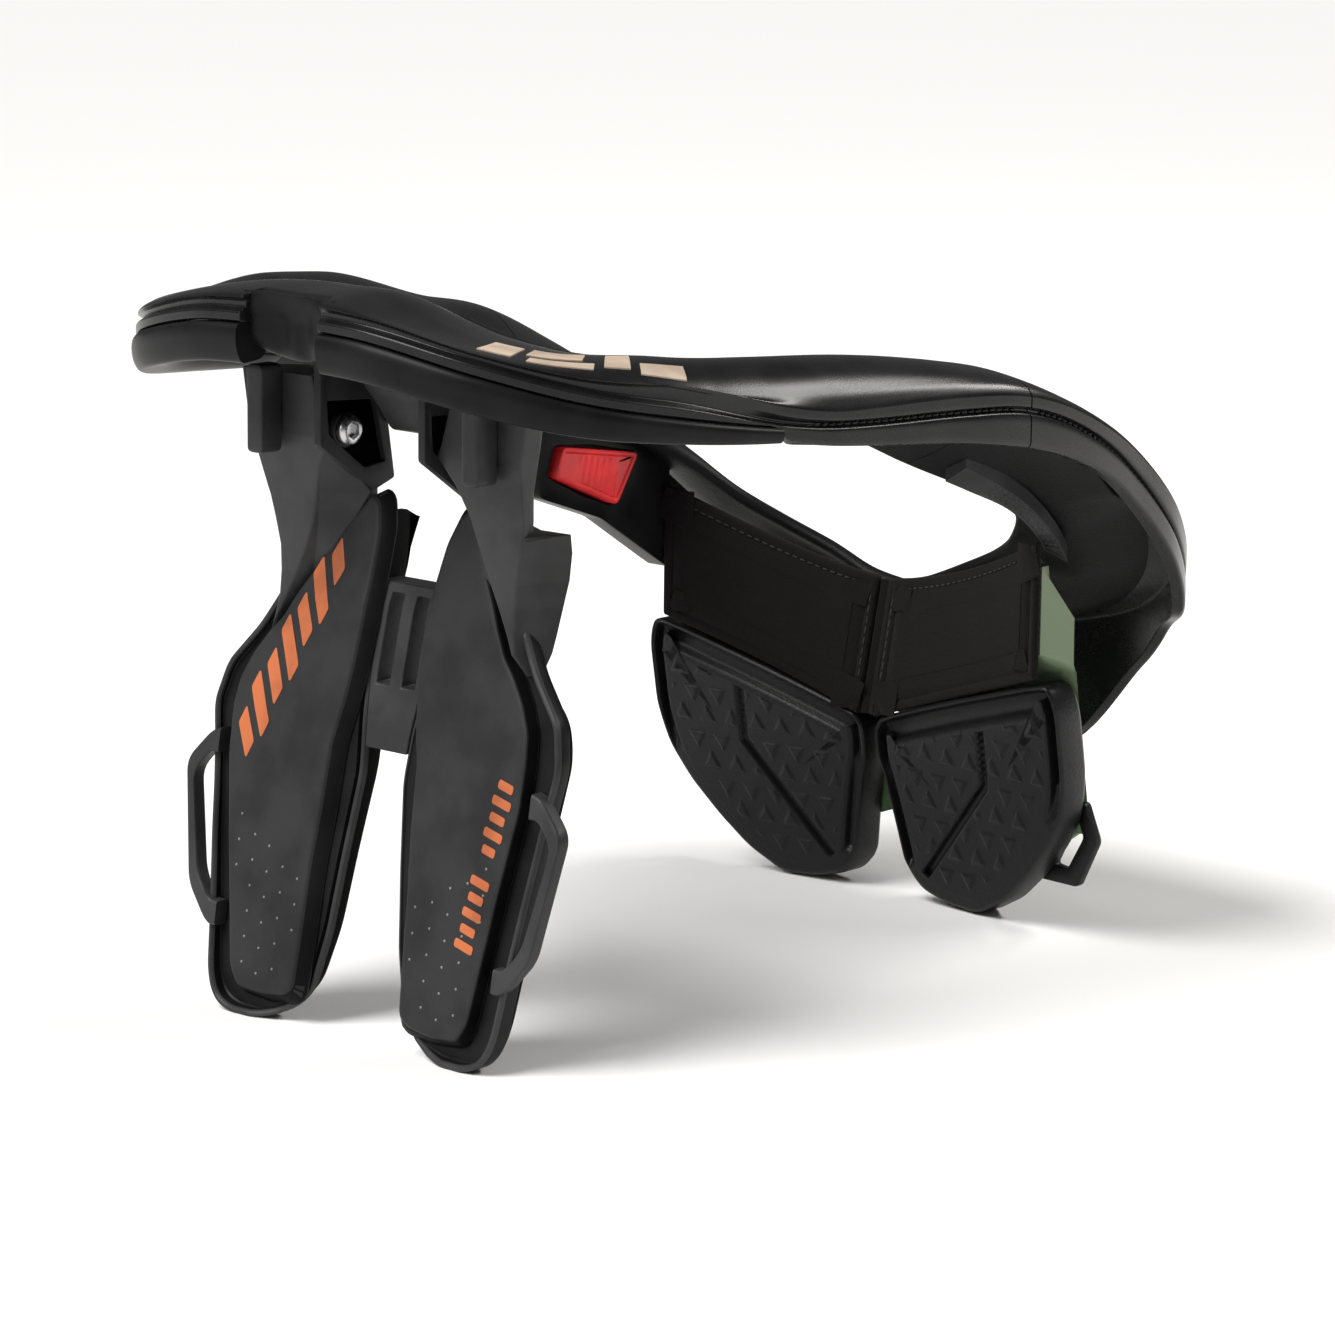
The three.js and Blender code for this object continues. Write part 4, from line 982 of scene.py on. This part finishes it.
def bridge():
    """Bent plate between the struts: strips of cells, the two slots left out, given thickness by walls."""
    slot_low = 0.5 * (BRIDGE_TOP + BRIDGE_BOTTOM) - 0.2 * SLOT_HEIGHT
    z = np.unique(np.concatenate([np.linspace(BRIDGE_BOTTOM, slot_low, 6),
                                  np.linspace(slot_low, slot_low + SLOT_HEIGHT, 8),
                                  np.linspace(slot_low + SLOT_HEIGHT, BRIDGE_TOP, 3)]))
    half = np.interp(z / STRUT_HEIGHT, PLATE_ROWS[:, 0], PLATE_ROWS[:, 1]) * STRUT_SPAN - GAP
    inner, outer = 0.5 * SLOT_WIDTH, 1.5 * SLOT_WIDTH
    y = stack(-half, -outer, -inner, inner, outer, half)
    rear = tray_floor + GAP
    near, far = (strut_place(y, z[:, None], h) for h in (rear, rear + BRIDGE_RIB))
    points = np.concatenate([near.reshape(-1, 3), far.reshape(-1, 3)])
    count, rows = y.size, len(z)
    solid = np.ones((rows - 1, 5), bool)
    middle = (z[1:] + z[:-1]) / 2
    open_row = (middle > slot_low) & (middle < slot_low + SLOT_HEIGHT)
    solid[np.ix_(open_row, [1, 3])] = False
    faces = []
    for i, j in zip(*np.nonzero(solid)):
        a, b, c, d = i * 6 + j, i * 6 + j + 1, (i + 1) * 6 + j + 1, (i + 1) * 6 + j
        faces += [[a, b, c, d], [d + count, c + count, b + count, a + count]]
        for (p, q), (di, dj) in (((a, b), (-1, 0)), ((b, c), (0, 1)), ((c, d), (1, 0)), ((d, a), (0, -1))):
            k, m = i + di, j + dj
            if not (0 <= k < rows - 1 and 0 <= m < 5 and solid[k, m]):
                faces.append([q, p, p + count, q + count])
    return points, faces


assemble("strut_bridge_skin", [bridge()], ribbed, "rear", "strut_plastic", ["strut_bridge"], bevel=0.6)


PRINT_LIFT, PRINT = 0.05, 0.25


def bars(rows):
    """Printed bars: four corners each, [y, z], laid on the strut's face as thin rounded plates."""
    face, under = PRINT_LIFT + PRINT, PRINT_LIFT - PRINT
    parts = []
    for corners in rows:
        loop = outlined(np.array(corners, float), 0.8, 3, 48)
        steps = [(0, 1, face), (0, 0, face), (0, 0, under), (0.15, 0, under - 0.05), (0, 0.5, under - 0.05),
                 (0, 1, under - 0.05)]
        parts.append(slab(loop, centred(loop), steps, strut_place))
    return parts


def slanted(start, end, width, across, lengths, share):
    """Bars set across the line from start to end, each share of its pitch thick, as long as lengths say."""
    start, end = np.array(start, float), np.array(end, float)
    along = (end - start) / len(lengths)
    rows = []
    for k, length in enumerate(lengths):
        if not length:
            continue
        low = start + along * (k + 0.5 * (1 - share))
        high = low + along * share
        up = np.array(across) * width * length
        rows.append([low - up / 2, high - up / 2, high + up / 2, low + up / 2])
    return rows


left_marks = slanted((58.5, 84), (26.5, 150), 17, (0.42, 0.91), [0.7, 1, 0.8, 1, 0.75, 1, 0.6], 0.62)
right_marks = slanted((47.5, 36), (58, 91), 8, (0.97, -0.24), [1, .8, 1, .8, 1, 0, .7, 1, .8, 1, .8], 0.55)
assemble("front_wall_stitches", wall_stitches(front_to - 0.004, 0.09), thread, "front", "foam_fabric")
assemble("rear_wall_stitches", wall_stitches(0.315, rear_from + 0.004), thread, "rear", "foam_fabric")
assemble("strut_print_left", bars(left_marks), orange, "rear", "strut_plastic")
assemble("strut_print_right", mirror(bars(right_marks)), orange, "rear", "strut_plastic")


# Chest piece

chest_place = collar_x(COLLAR[-1, 6]) - 16
# The liner's curve and slant, the petals' sweep and slant, and how far their tops dip and rise sideways.
LINER_CURVE, LINER_SLANT, PETAL_SWEEP, PETAL_SLANT = 14, 0.22, 0.1, 0.18
PETAL_DIP, PETAL_RISE, NECK_DIP, NECK_RISE = 6, 29, 28, 26


def liner_x(y, z):
    middle = 1 - (np.abs(y) / CHEST_HALF) ** 1.3
    return chest_place - LINER_CURVE + middle * (LINER_CURVE + LINER_SLANT * (z - FOLD))


def petal_x(y, z):
    return chest_place - 1 - PETAL_SWEEP * np.abs(y) + PETAL_SLANT * (FOLD - z)


def petal_top(y):
    return FOLD - PETAL_DIP + PETAL_RISE * np.abs(y) / (1.05 * CHEST_HALF)


def liner_top(y):
    return CHEST_HEIGHT - NECK_DIP + NECK_RISE * (np.abs(y) / CHEST_HALF) ** 1.5


def liner():
    """Cloth panel: hemmed edge, a sewn groove inside it and a faintly puffed middle."""
    y = np.linspace(SEAM_HALF + GAP, CHEST_HALF, 60)
    line = np.vstack([stack(y, petal_top(y) + GAP), stack(y, liner_top(y))[::-1]])
    outline = outlined(line, 1.5, 3, 360)
    spine_y = np.clip(outline[:, 0], y[0] + 16, y[-1] - 16)
    spine = stack(spine_y, (petal_top(spine_y) + liner_top(spine_y)) / 2)
    steps = [(0, 1, LINER), (0, 0.5, LINER), (1, 0, LINER), (0.25, 0, LINER - 0.3), (0, 0, LINER - 1),
             (0, 0, 1.2), (0.3, 0, 0.45), (0.9, 0, 0.1), (1.8, 0, 0), (2.9, 0, 0.05), (3.3, 0, 0.5),
             (3.6, 0, 0.6), (3.9, 0, 0.45), (4.6, 0, 0), (7, 0, -0.35), (11, 0, -0.55), (0, 0.5, -0.7),
             (0, 0.8, -0.7), (0, 1, -0.7)]
    return slab(outline, spine, steps, lambda a, b, height: stack(liner_x(a, b) + height, a, b))


def liner_sides(along):
    out = np.array([1.0, 0, 0])
    side = np.cross(along, out)
    return side / np.linalg.norm(side), out


def stitches(path, lift, size):
    """Threads along a line of [y, z] points, lift in front of the liner."""
    return threads(path, lambda points: stack(liner_x(*points.T) + lift, *points.T), liner_sides, *size)


def hem_line(inset):
    y = np.linspace(SEAM_HALF + GAP + inset, CHEST_HALF - inset, 80)
    return stack(y, liner_top(y) - inset)


def side_line(inset):
    y = SEAM_HALF + GAP + inset
    z = np.linspace(petal_top(y) + 4, liner_top(y) - 4, 40)
    return stack(y, z)


liner_stitches = stitches(hem_line(3.5), 0.25, HEM_THREAD) + stitches(side_line(1.7), -0.05, SIDE_THREAD)
assemble_pair("chest_liner", [liner()], cloth, "front", "foam_fabric", fill=0.4, angle=60)
assemble_pair("liner_stitches", liner_stitches, thread, "front", "foam_fabric", node=None)


def seam():
    """Narrow binding between the panels, hollow in the middle."""
    z = np.linspace(petal_top(0) + 2, liner_top(0) - 1, 40)
    y = SEAM_HALF * np.array([-1, -0.8, -0.35, 0, 0.35, 0.8, 1])
    dip = np.array([0.6, 0.1, 0.5, 1.0, 0.5, 0.1, 0.6])
    height, side = np.meshgrid(z, y, indexing="ij")
    near = stack(liner_x(0, height) + 1 + dip, side, height)
    far = stack(liner_x(0, height) + 1 + LINER, side, height)
    return sheet(near, far)


assemble("chest_seam_skin", [seam()], cloth, "front", "foam_fabric", ["chest_seam"])

# side: share of the chest half width; low and high: shares of the fold height.
PETAL_ROWS = np.array([
    [0.03, 0.72, 0.87], [0.06, 0.6, 0.93], [0.10, 0.38, 0.95], [0.135, 0.16, 0.975], [0.21, 0.06, 1.0],
    [0.35, 0.014, 1.06], [0.53, 0, 1.12], [0.70, 0.11, 1.18], [0.84, 0.26, 1.23], [0.97, 0.43, 1.275],
    [1.05, 0.58, 1.29], [1.08, 0.70, 1.24], [1.10, 0.83, 1.14]])
GROOVE = np.array([[0.65, 1.3], [0.65, 0.70], [0.13, -0.02]]) * [CHEST_HALF, FOLD]
GROOVE_HALF, GROOVE_DEPTH = 1.3, 2.4
TRIANGLE_PITCH, TRIANGLE_ROW, TRIANGLE_HALF = 10.6, 8.6, 1.9
FACE = 0.62
# The channel inside a petal's lip: inset, depth, and depth along the petal's lower edge, where it runs out.
CHANNEL = [(0, 1.8, 4.5), (0.25, 1.0, 2.6), (0.8, 0.55, 1.5), (1.4, 0.75, 1.0), (1.75, 1.6, 0.85),
           (2.0, 3.6, 0.8), (2.5, 4.6, 0.75), (4.4, 4.6, 0.7), (5.0, 3.8, 0.7), (5.3, 1.8, 0.65),
           (5.8, 0.8, 0.63)]
CHANNEL_END = 6.6


def to_line(y, z, corners):
    """Distance to a bent line: the least over its stretches of the distance to the nearest point on each."""
    point = stack(y, z)
    found = []
    for a, b in zip(corners[:-1], corners[1:]):
        share = np.clip(((point - a) @ (b - a)) / ((b - a) @ (b - a)), 0, 1)
        found.append(np.linalg.norm(point - a - share[..., None] * (b - a), axis=-1))
    return np.min(found, 0)


def triangles(y, z):
    """Raised triangles in staggered rows, every other row turned over: 1 on them and 0 between."""
    row = np.floor(z / TRIANGLE_ROW)
    p = ((y / TRIANGLE_PITCH + 0.5 * (row % 2)) % 1 - 0.5) * TRIANGLE_PITCH
    q = (z % TRIANGLE_ROW) - TRIANGLE_ROW / 2
    q = np.where(row % 2 > 0, -q, q)
    edge = np.maximum(np.abs(p) * 0.866 + q * 0.5, -q) - TRIANGLE_HALF
    return 1 - ease(-0.7, 0.5, edge)


def petal_outline():
    rows = PETAL_ROWS * [CHEST_HALF, FOLD, FOLD]
    high = np.minimum(rows[:, 2], petal_top(rows[:, 0]))
    line = np.vstack([stack(rows[:, 0], rows[:, 1]), stack(rows[:, 0], high)[::-1]])
    return outlined(line, 4, 5, 520)


def petal():
    """Pressed foam pad: raised lip, sunken channel inside it, then a face with a groove and triangles."""
    outline = petal_outline()
    spine_y = np.clip(outline[:, 0], 30, 66)
    spine = stack(spine_y, 30 + 0.42 * spine_y)

    def widened(inset):
        """Insets beyond the lip's inner side, made wider along the top edge."""
        return lambda inward: inset + max(0, inset - 2) * 1.2 * ease(0.3, 0.95, -inward[:, 1])

    def channel(depth, shallow):
        return lambda y, z, inward: fade(depth, shallow, ease(0.05, 0.55, inward[:, 1]))

    def face(y, z, inward):
        near_groove = 1 - ease(GROOVE_HALF - 0.7, GROOVE_HALF + 0.8, to_line(y, z, GROOVE))
        from_edge = np.min(np.linalg.norm(stack(y, z)[:, None] - outline[None, ::6], axis=-1), 1)
        clear = ease(8.0, 9.5, from_edge) * ease(2.6, 3.6, to_line(y, z, GROOVE))
        return FACE + GROOVE_DEPTH * near_groove - FACE * triangles(y, z) * clear

    steps = [(0, 1, PETAL), (0, 0.5, PETAL), (2.2, 0, PETAL), (0.6, 0, PETAL - 0.8), (0, 0, PETAL - 2.4)]
    steps += [(inset, 0, channel(depth, shallow)) for inset, depth, shallow in CHANNEL]
    steps += [(CHANNEL_END, 0, FACE)]
    steps = [(widened(inset), share, height) for inset, share, height in steps]
    steps += [(widened(CHANNEL_END), share, face) for share in np.linspace(0.015, 1, 70)]
    return slab(outline, spine, steps, lambda a, b, height: stack(petal_x(a, b) + height, a, b))


assemble_pair("chest_petal", [petal()], pressed, "front", "matt_pad", fill=0.8, angle=50)

FLANK_DEPTH, FLANK_SPREAD, FLANK_SHARE = 12.0, 5.0, 0.8
LEDGE_SHARE, RAMP_SHARE = 0.5, 0.1


def shell_points(u, v):
    """Shell surface: behind the petals below the ledge and behind the liner above it, turned at its flank."""
    wrap = np.clip((u - FLANK_SHARE) / (1 - FLANK_SHARE), 0, 1)
    y = fade(SEAM_HALF + GAP, CHEST_HALF, np.minimum(u / FLANK_SHARE, 1))
    side = y / CHEST_HALF
    top = liner_top(y) - 3 - 6 * ease(0.9, 1, side) - 0.13 * CHEST_HEIGHT * wrap
    bottom = FOLD * fade(fade(0.42, 0.2, np.minimum(2 * side, 1)), 0.5, side**3)
    ledge = petal_top(y) + 1
    over = np.clip((v - LEDGE_SHARE) / RAMP_SHARE, 0, 1)
    z = np.where(v <= LEDGE_SHARE, fade(bottom, ledge, v / LEDGE_SHARE),
                 fade(ledge, top, (v - LEDGE_SHARE) / (1 - LEDGE_SHARE)))
    x = fade(petal_x(y, z) + PETAL + GAP, liner_x(y, z) + LINER + GAP, over)
    return stack(x + FLANK_DEPTH * wrap * fade(0.1, 1, over), y + FLANK_SPREAD * wrap, z)


def shell():
    """Sheet of even thickness: forward over the chest, sideways round the flank."""
    u, v = np.meshgrid(np.linspace(0, 1, 61), np.linspace(0, 1, 41), indexing="ij")
    near = shell_points(u, v)
    wrapped = np.clip(2 * (u - FLANK_SHARE) / (1 - FLANK_SHARE), 0, 1)[..., None]
    far = near + fade(np.array([SHELL, 0, 0]), np.array([0.5, -SHELL, 0]), wrapped)
    return sheet(near, far)


def chest_loop():
    """Small loop at the shell's lower outer corner, on the same surface."""
    outer = np.array([[0.747, 0.214], [0.976, 0.214], [1.108, 0.471], [1.06, 0.671], [0.916, 0.629]])
    hole = np.array([[0.855, 0.307], [0.928, 0.3], [1.036, 0.486], [1.012, 0.571], [0.952, 0.486]])
    outer, hole = (rounded(line * [CHEST_HALF, FOLD], 1.8, 4) for line in (outer, hole))
    sides = ((outer, 0), (outer, SHELL), (hole, SHELL), (hole, 0))
    return ringed([stack(petal_x(*line.T) + PETAL + GAP + depth, line[:, 0], line[:, 1])
                   for line, depth in sides], 0.7)


assemble_pair("chest_shell", [shell()], leaf, "front", "green_shell", bevel=0.8)
assemble_pair("chest_loop", [chest_loop()], pressed, "front", "matt_pad", node=None)


# Latch and badge

def beside(rows):
    """Places in the collar's side view from shares of its length and height."""
    return np.array([[collar_x(along), up * COLLAR_HEIGHT] for along, up in rows])


tab_outline = beside([[0.622, 0.664], [0.7355, 0.639], [0.7035, 0.565], [0.612, 0.62]])
holder_outline = beside([[0.596, 0.748], [0.596, 0.592], [0.689, 0.536], [0.782, 0.458], [0.782, 0.63]])
# Millimetres by which the drawn holder's corners stand off those of its solid.
HOLDER_SHIFT = [[0, 0], [0, 0], [0, 2.4], [4, -1.4], [4, 0]]
holder_place = CHEST_HALF + 1


TAB_RIDGES = 3.2


def tab():
    """Release tab: raised rim round a sunken face with shallow ridges."""
    loop = outlined(tab_outline, 2.4, 4, 160)
    near = holder_place - TAB / 2

    def face(x, z, inward):
        ridge = 0.5 + 0.5 * np.cos((x - 0.25 * z) * math.tau / TAB_RIDGES)
        from_rear, from_front = x - tab_outline[:, 0].min(), x - tab_outline[:, 0].max()
        inside = ease(11.5, 14.5, from_rear) * (1 - ease(-13, -10, from_front))
        return 0.55 - 0.4 * ridge * inside

    steps = [(0, 1, TAB), (0, 0.5, TAB), (0.6, 0, TAB), (0, 0, TAB - 0.6), (0, 0, 0.6), (0.15, 0, 0.2),
             (0.6, 0, 0), (1.3, 0, 0), (1.7, 0, 0.2), (2.0, 0, 0.55)]
    steps += [(2.0, share, face) for share in np.linspace(0.05, 1, 24)]
    return slab(loop, centred(loop), steps, lambda x, z, height: stack(x, near + height, z))


assemble("release_tab_skin", [tab()], red, "tab", "red_plastic", ["release_tab"])


BADGE_REAR, BADGE_FRONT, BADGE_DROP, BADGE_RIBS = 0.635, 0.862, 4.8, 21


def badge():
    """Badge strip under the right side: raised frame line, rows of low ribs and a smooth rear end."""
    start, end = (ring_share(collar_x(share)) for share in (BADGE_REAR, BADGE_FRONT))
    s = Stations(np.linspace(start, end, 140))
    lead, _, belly_z = s.under(WALL, BELLY_FRONT)
    low = s.at(s.span - 3, s.lip)
    belly = s.at(fade(lead, s.span, 0.6), belly_z)
    u, w = np.linspace(0, 1, 140)[:, None], np.linspace(0, 1, 33)[None, :]
    up = fade(0.42, 1.0, w) + 0.06 * u
    top = fade(low[:, None], belly[:, None], up[..., None]) - [0, 0, GAP + 0.1]
    margin = np.minimum(np.minimum(u, 1 - u) * 80, np.minimum(w, 1 - w) * 16)
    panel = ease(0.9, 1.5, margin) * ease(0.26, 0.28, u)
    rib = 0.5 + 0.5 * np.sin(u * math.tau * BADGE_RIBS + np.floor(w * 4) * 2)
    drop = BADGE_DROP - 0.8 * panel + 0.55 * panel * ease(0.35, 0.8, rib) * ease(1.9, 2.6, margin)
    return sheet(top - drop[..., None] * [0, 0, 1], top)


assemble("side_badge_skin", [badge()], ribbed, "front", "matt_pad", ["side_badge"])


# Cream bars: from and to along the ring, lower and upper edge as shares of the shoulder's depth.
CREAM_BARS = ((0.414, 0.404, 0.30, 0.90), (0.401, 0.384, 0.55, 0.95), (0.399, 0.380, 0.20, 0.42),
              (0.377, 0.369, 0.30, 0.90), (0.366, 0.352, 0.20, 0.50))


def shoulder_print():
    """Cream bars on the rear right shoulder of the collar, laid a hair over its skin."""
    parts = []
    depths, rises = zip(*SHOULDER, (1, 1))
    for start, end, low, high in CREAM_BARS:
        s = Stations(np.linspace(start, end, 24))
        crease = wall_lines(s)[2]
        shares = np.linspace(low, high, 12)
        top = s.section(*[(share * s.shoulder + 0.4, fade(crease, s.crest, rise) + 0.35)
                          for share, rise in zip(shares, np.interp(shares, depths, rises))])
        parts.append(sheet(top, top - [0, 0, 1.4]))
    return parts


assemble("shoulder_print", shoulder_print(), cream, "rear", "satin_shell")


def radial(outline, centre, angles):
    """Distance from the centre to a convex or nearly convex outline along each angle."""
    a = outline - centre
    b = np.roll(a, -1, 0)
    way = stack(np.cos(angles), np.sin(angles))[:, None]
    edge = b - a
    cross = way[..., 0] * edge[:, 1] - way[..., 1] * edge[:, 0]
    cross = np.where(np.abs(cross) < 1e-9, 1e-9, cross)
    far = (a[:, 0] * edge[:, 1] - a[:, 1] * edge[:, 0]) / cross
    side = (a[:, 0] * way[..., 1] - a[:, 1] * way[..., 0]) / cross
    hit = (far > 0) & (side >= -1e-6) & (side <= 1 + 1e-6)
    return np.min(np.where(hit, far, 1e6), 1)


def holder():
    """Plate with a pocket for the tab: rings from the pocket's floor out over its rim and round the back."""
    centre = tab_outline.mean(0)
    angles = np.arange(240) * math.tau / 240
    tab_edge = radial(outlined(tab_outline, 1.6, 4, 160), centre, angles)
    outer = radial(outlined(holder_outline + HOLDER_SHIFT, 2.5, 4, 200), centre, angles)
    near, far = holder_place, holder_place + HOLDER
    floor = near + TAB / 2 + GAP
    rings = [(0.01 * tab_edge, floor), (tab_edge + 0.9, floor), (tab_edge + 1.0, near + 0.5),
             (tab_edge + 1.5, near), (outer - 0.8, near), (outer - 0.2, near + 0.25), (outer, near + 0.9),
             (outer, far - 0.9), (outer - 0.2, far - 0.25), (outer - 0.8, far), (0.01 * tab_edge, far)]
    return turned(centre, rings, angles)


assemble("latch_holder_skin", [holder()], railed, "front", "satin_shell", ["latch_holder"])


# Stage: pale floor, soft studio light and the camera that the photograph was fitted to.

FLOOR_HALF = 6.0
SUN_HEADING, SUN_ANGLE = (0.62, -0.26, -0.85), 40
SKY = 0.14


def stage_floor():
    corners = [(-1, -1), (1, -1), (1, 1), (-1, 1)]
    mesh = bpy.data.meshes.new("floor")
    mesh.from_pydata([(x * FLOOR_HALF, y * FLOOR_HALF, 0) for x, y in corners], [], [(0, 1, 2, 3)])
    paint = Paint("floor_paint", Base_Color=(0.93, 0.93, 0.93, 1), Roughness=0.9, Specular_IOR_Level=0.1)
    mesh.materials.append(paint.material)
    floor = bpy.data.objects.new("floor", mesh)
    bpy.context.scene.collection.objects.link(floor)


def stage_lamp(name, kind, energy, place, heading, color=(1, 1, 1), **settings):
    """Lamp at a place that shines along its heading."""
    lamp = bpy.data.lights.new(name, kind)
    lamp.energy, lamp.color = energy, color
    for setting, value in settings.items():
        setattr(lamp, setting, value)
    stand = bpy.data.objects.new(name, lamp)
    stand.location = place
    stand.rotation_euler = heading.to_track_quat("-Z", "Y").to_euler()
    bpy.context.scene.collection.objects.link(stand)


def soft_box(name, place, target, size, power, color=(1, 1, 1)):
    stage_lamp(name, "AREA", power, place, Vector(target) - Vector(place), color,
               shape="RECTANGLE", size=size[0], size_y=size[1])


stage_floor()
world = bpy.data.worlds.new("studio")
world.use_nodes = True
world.node_tree.nodes["Background"].inputs["Color"].default_value = (1, 1, 1, 1)
world.node_tree.nodes["Background"].inputs["Strength"].default_value = SKY
bpy.context.scene.world = world
stage_lamp("daylight", "SUN", 3.6, (0, 0, 0), Vector(SUN_HEADING), (1, 0.985, 0.96),
           angle=math.radians(SUN_ANGLE))
soft_box("strip", (1.1, -0.9, 1.25), (0.05, -0.05, 0.2), (1.6, 0.16), 22, (1, 0.97, 0.94))
soft_box("side", (-1.7, 0.5, 0.9), (-0.05, 0, 0.12), (0.7, 0.9), 7)

VIEW_AZIMUTH, VIEW_ELEVATION, ROLL = 41.530, 11.432, -0.604
VIEW_PLACE = (-1.20788, -1.07513, 0.42540)
SENSOR, FOCAL, PHOTO_SIDE = 36.0, 5000, 1335     # millimetres, then pixels
camera_data = bpy.data.cameras.new("camera")
camera_data.sensor_width = SENSOR
camera_data.lens = SENSOR * FOCAL / PHOTO_SIDE
camera = bpy.data.objects.new("camera", camera_data)
azimuth, elevation, roll = (math.radians(a) for a in (VIEW_AZIMUTH, VIEW_ELEVATION, ROLL))
forward = Vector((math.cos(azimuth) * math.cos(elevation), math.sin(azimuth) * math.cos(elevation),
                  -math.sin(elevation)))
level = Vector((math.sin(azimuth), -math.cos(azimuth), 0))
down = forward.cross(level)
right = level * math.cos(roll) + down * math.sin(roll)
down = forward.cross(right)
rows = [(right[k], -down[k], -forward[k], VIEW_PLACE[k]) for k in range(3)]
camera.matrix_world = Matrix(rows + [(0, 0, 0, 1)])
bpy.context.scene.collection.objects.link(camera)
bpy.context.scene.camera = camera
bpy.context.scene.view_settings.view_transform = "Standard"
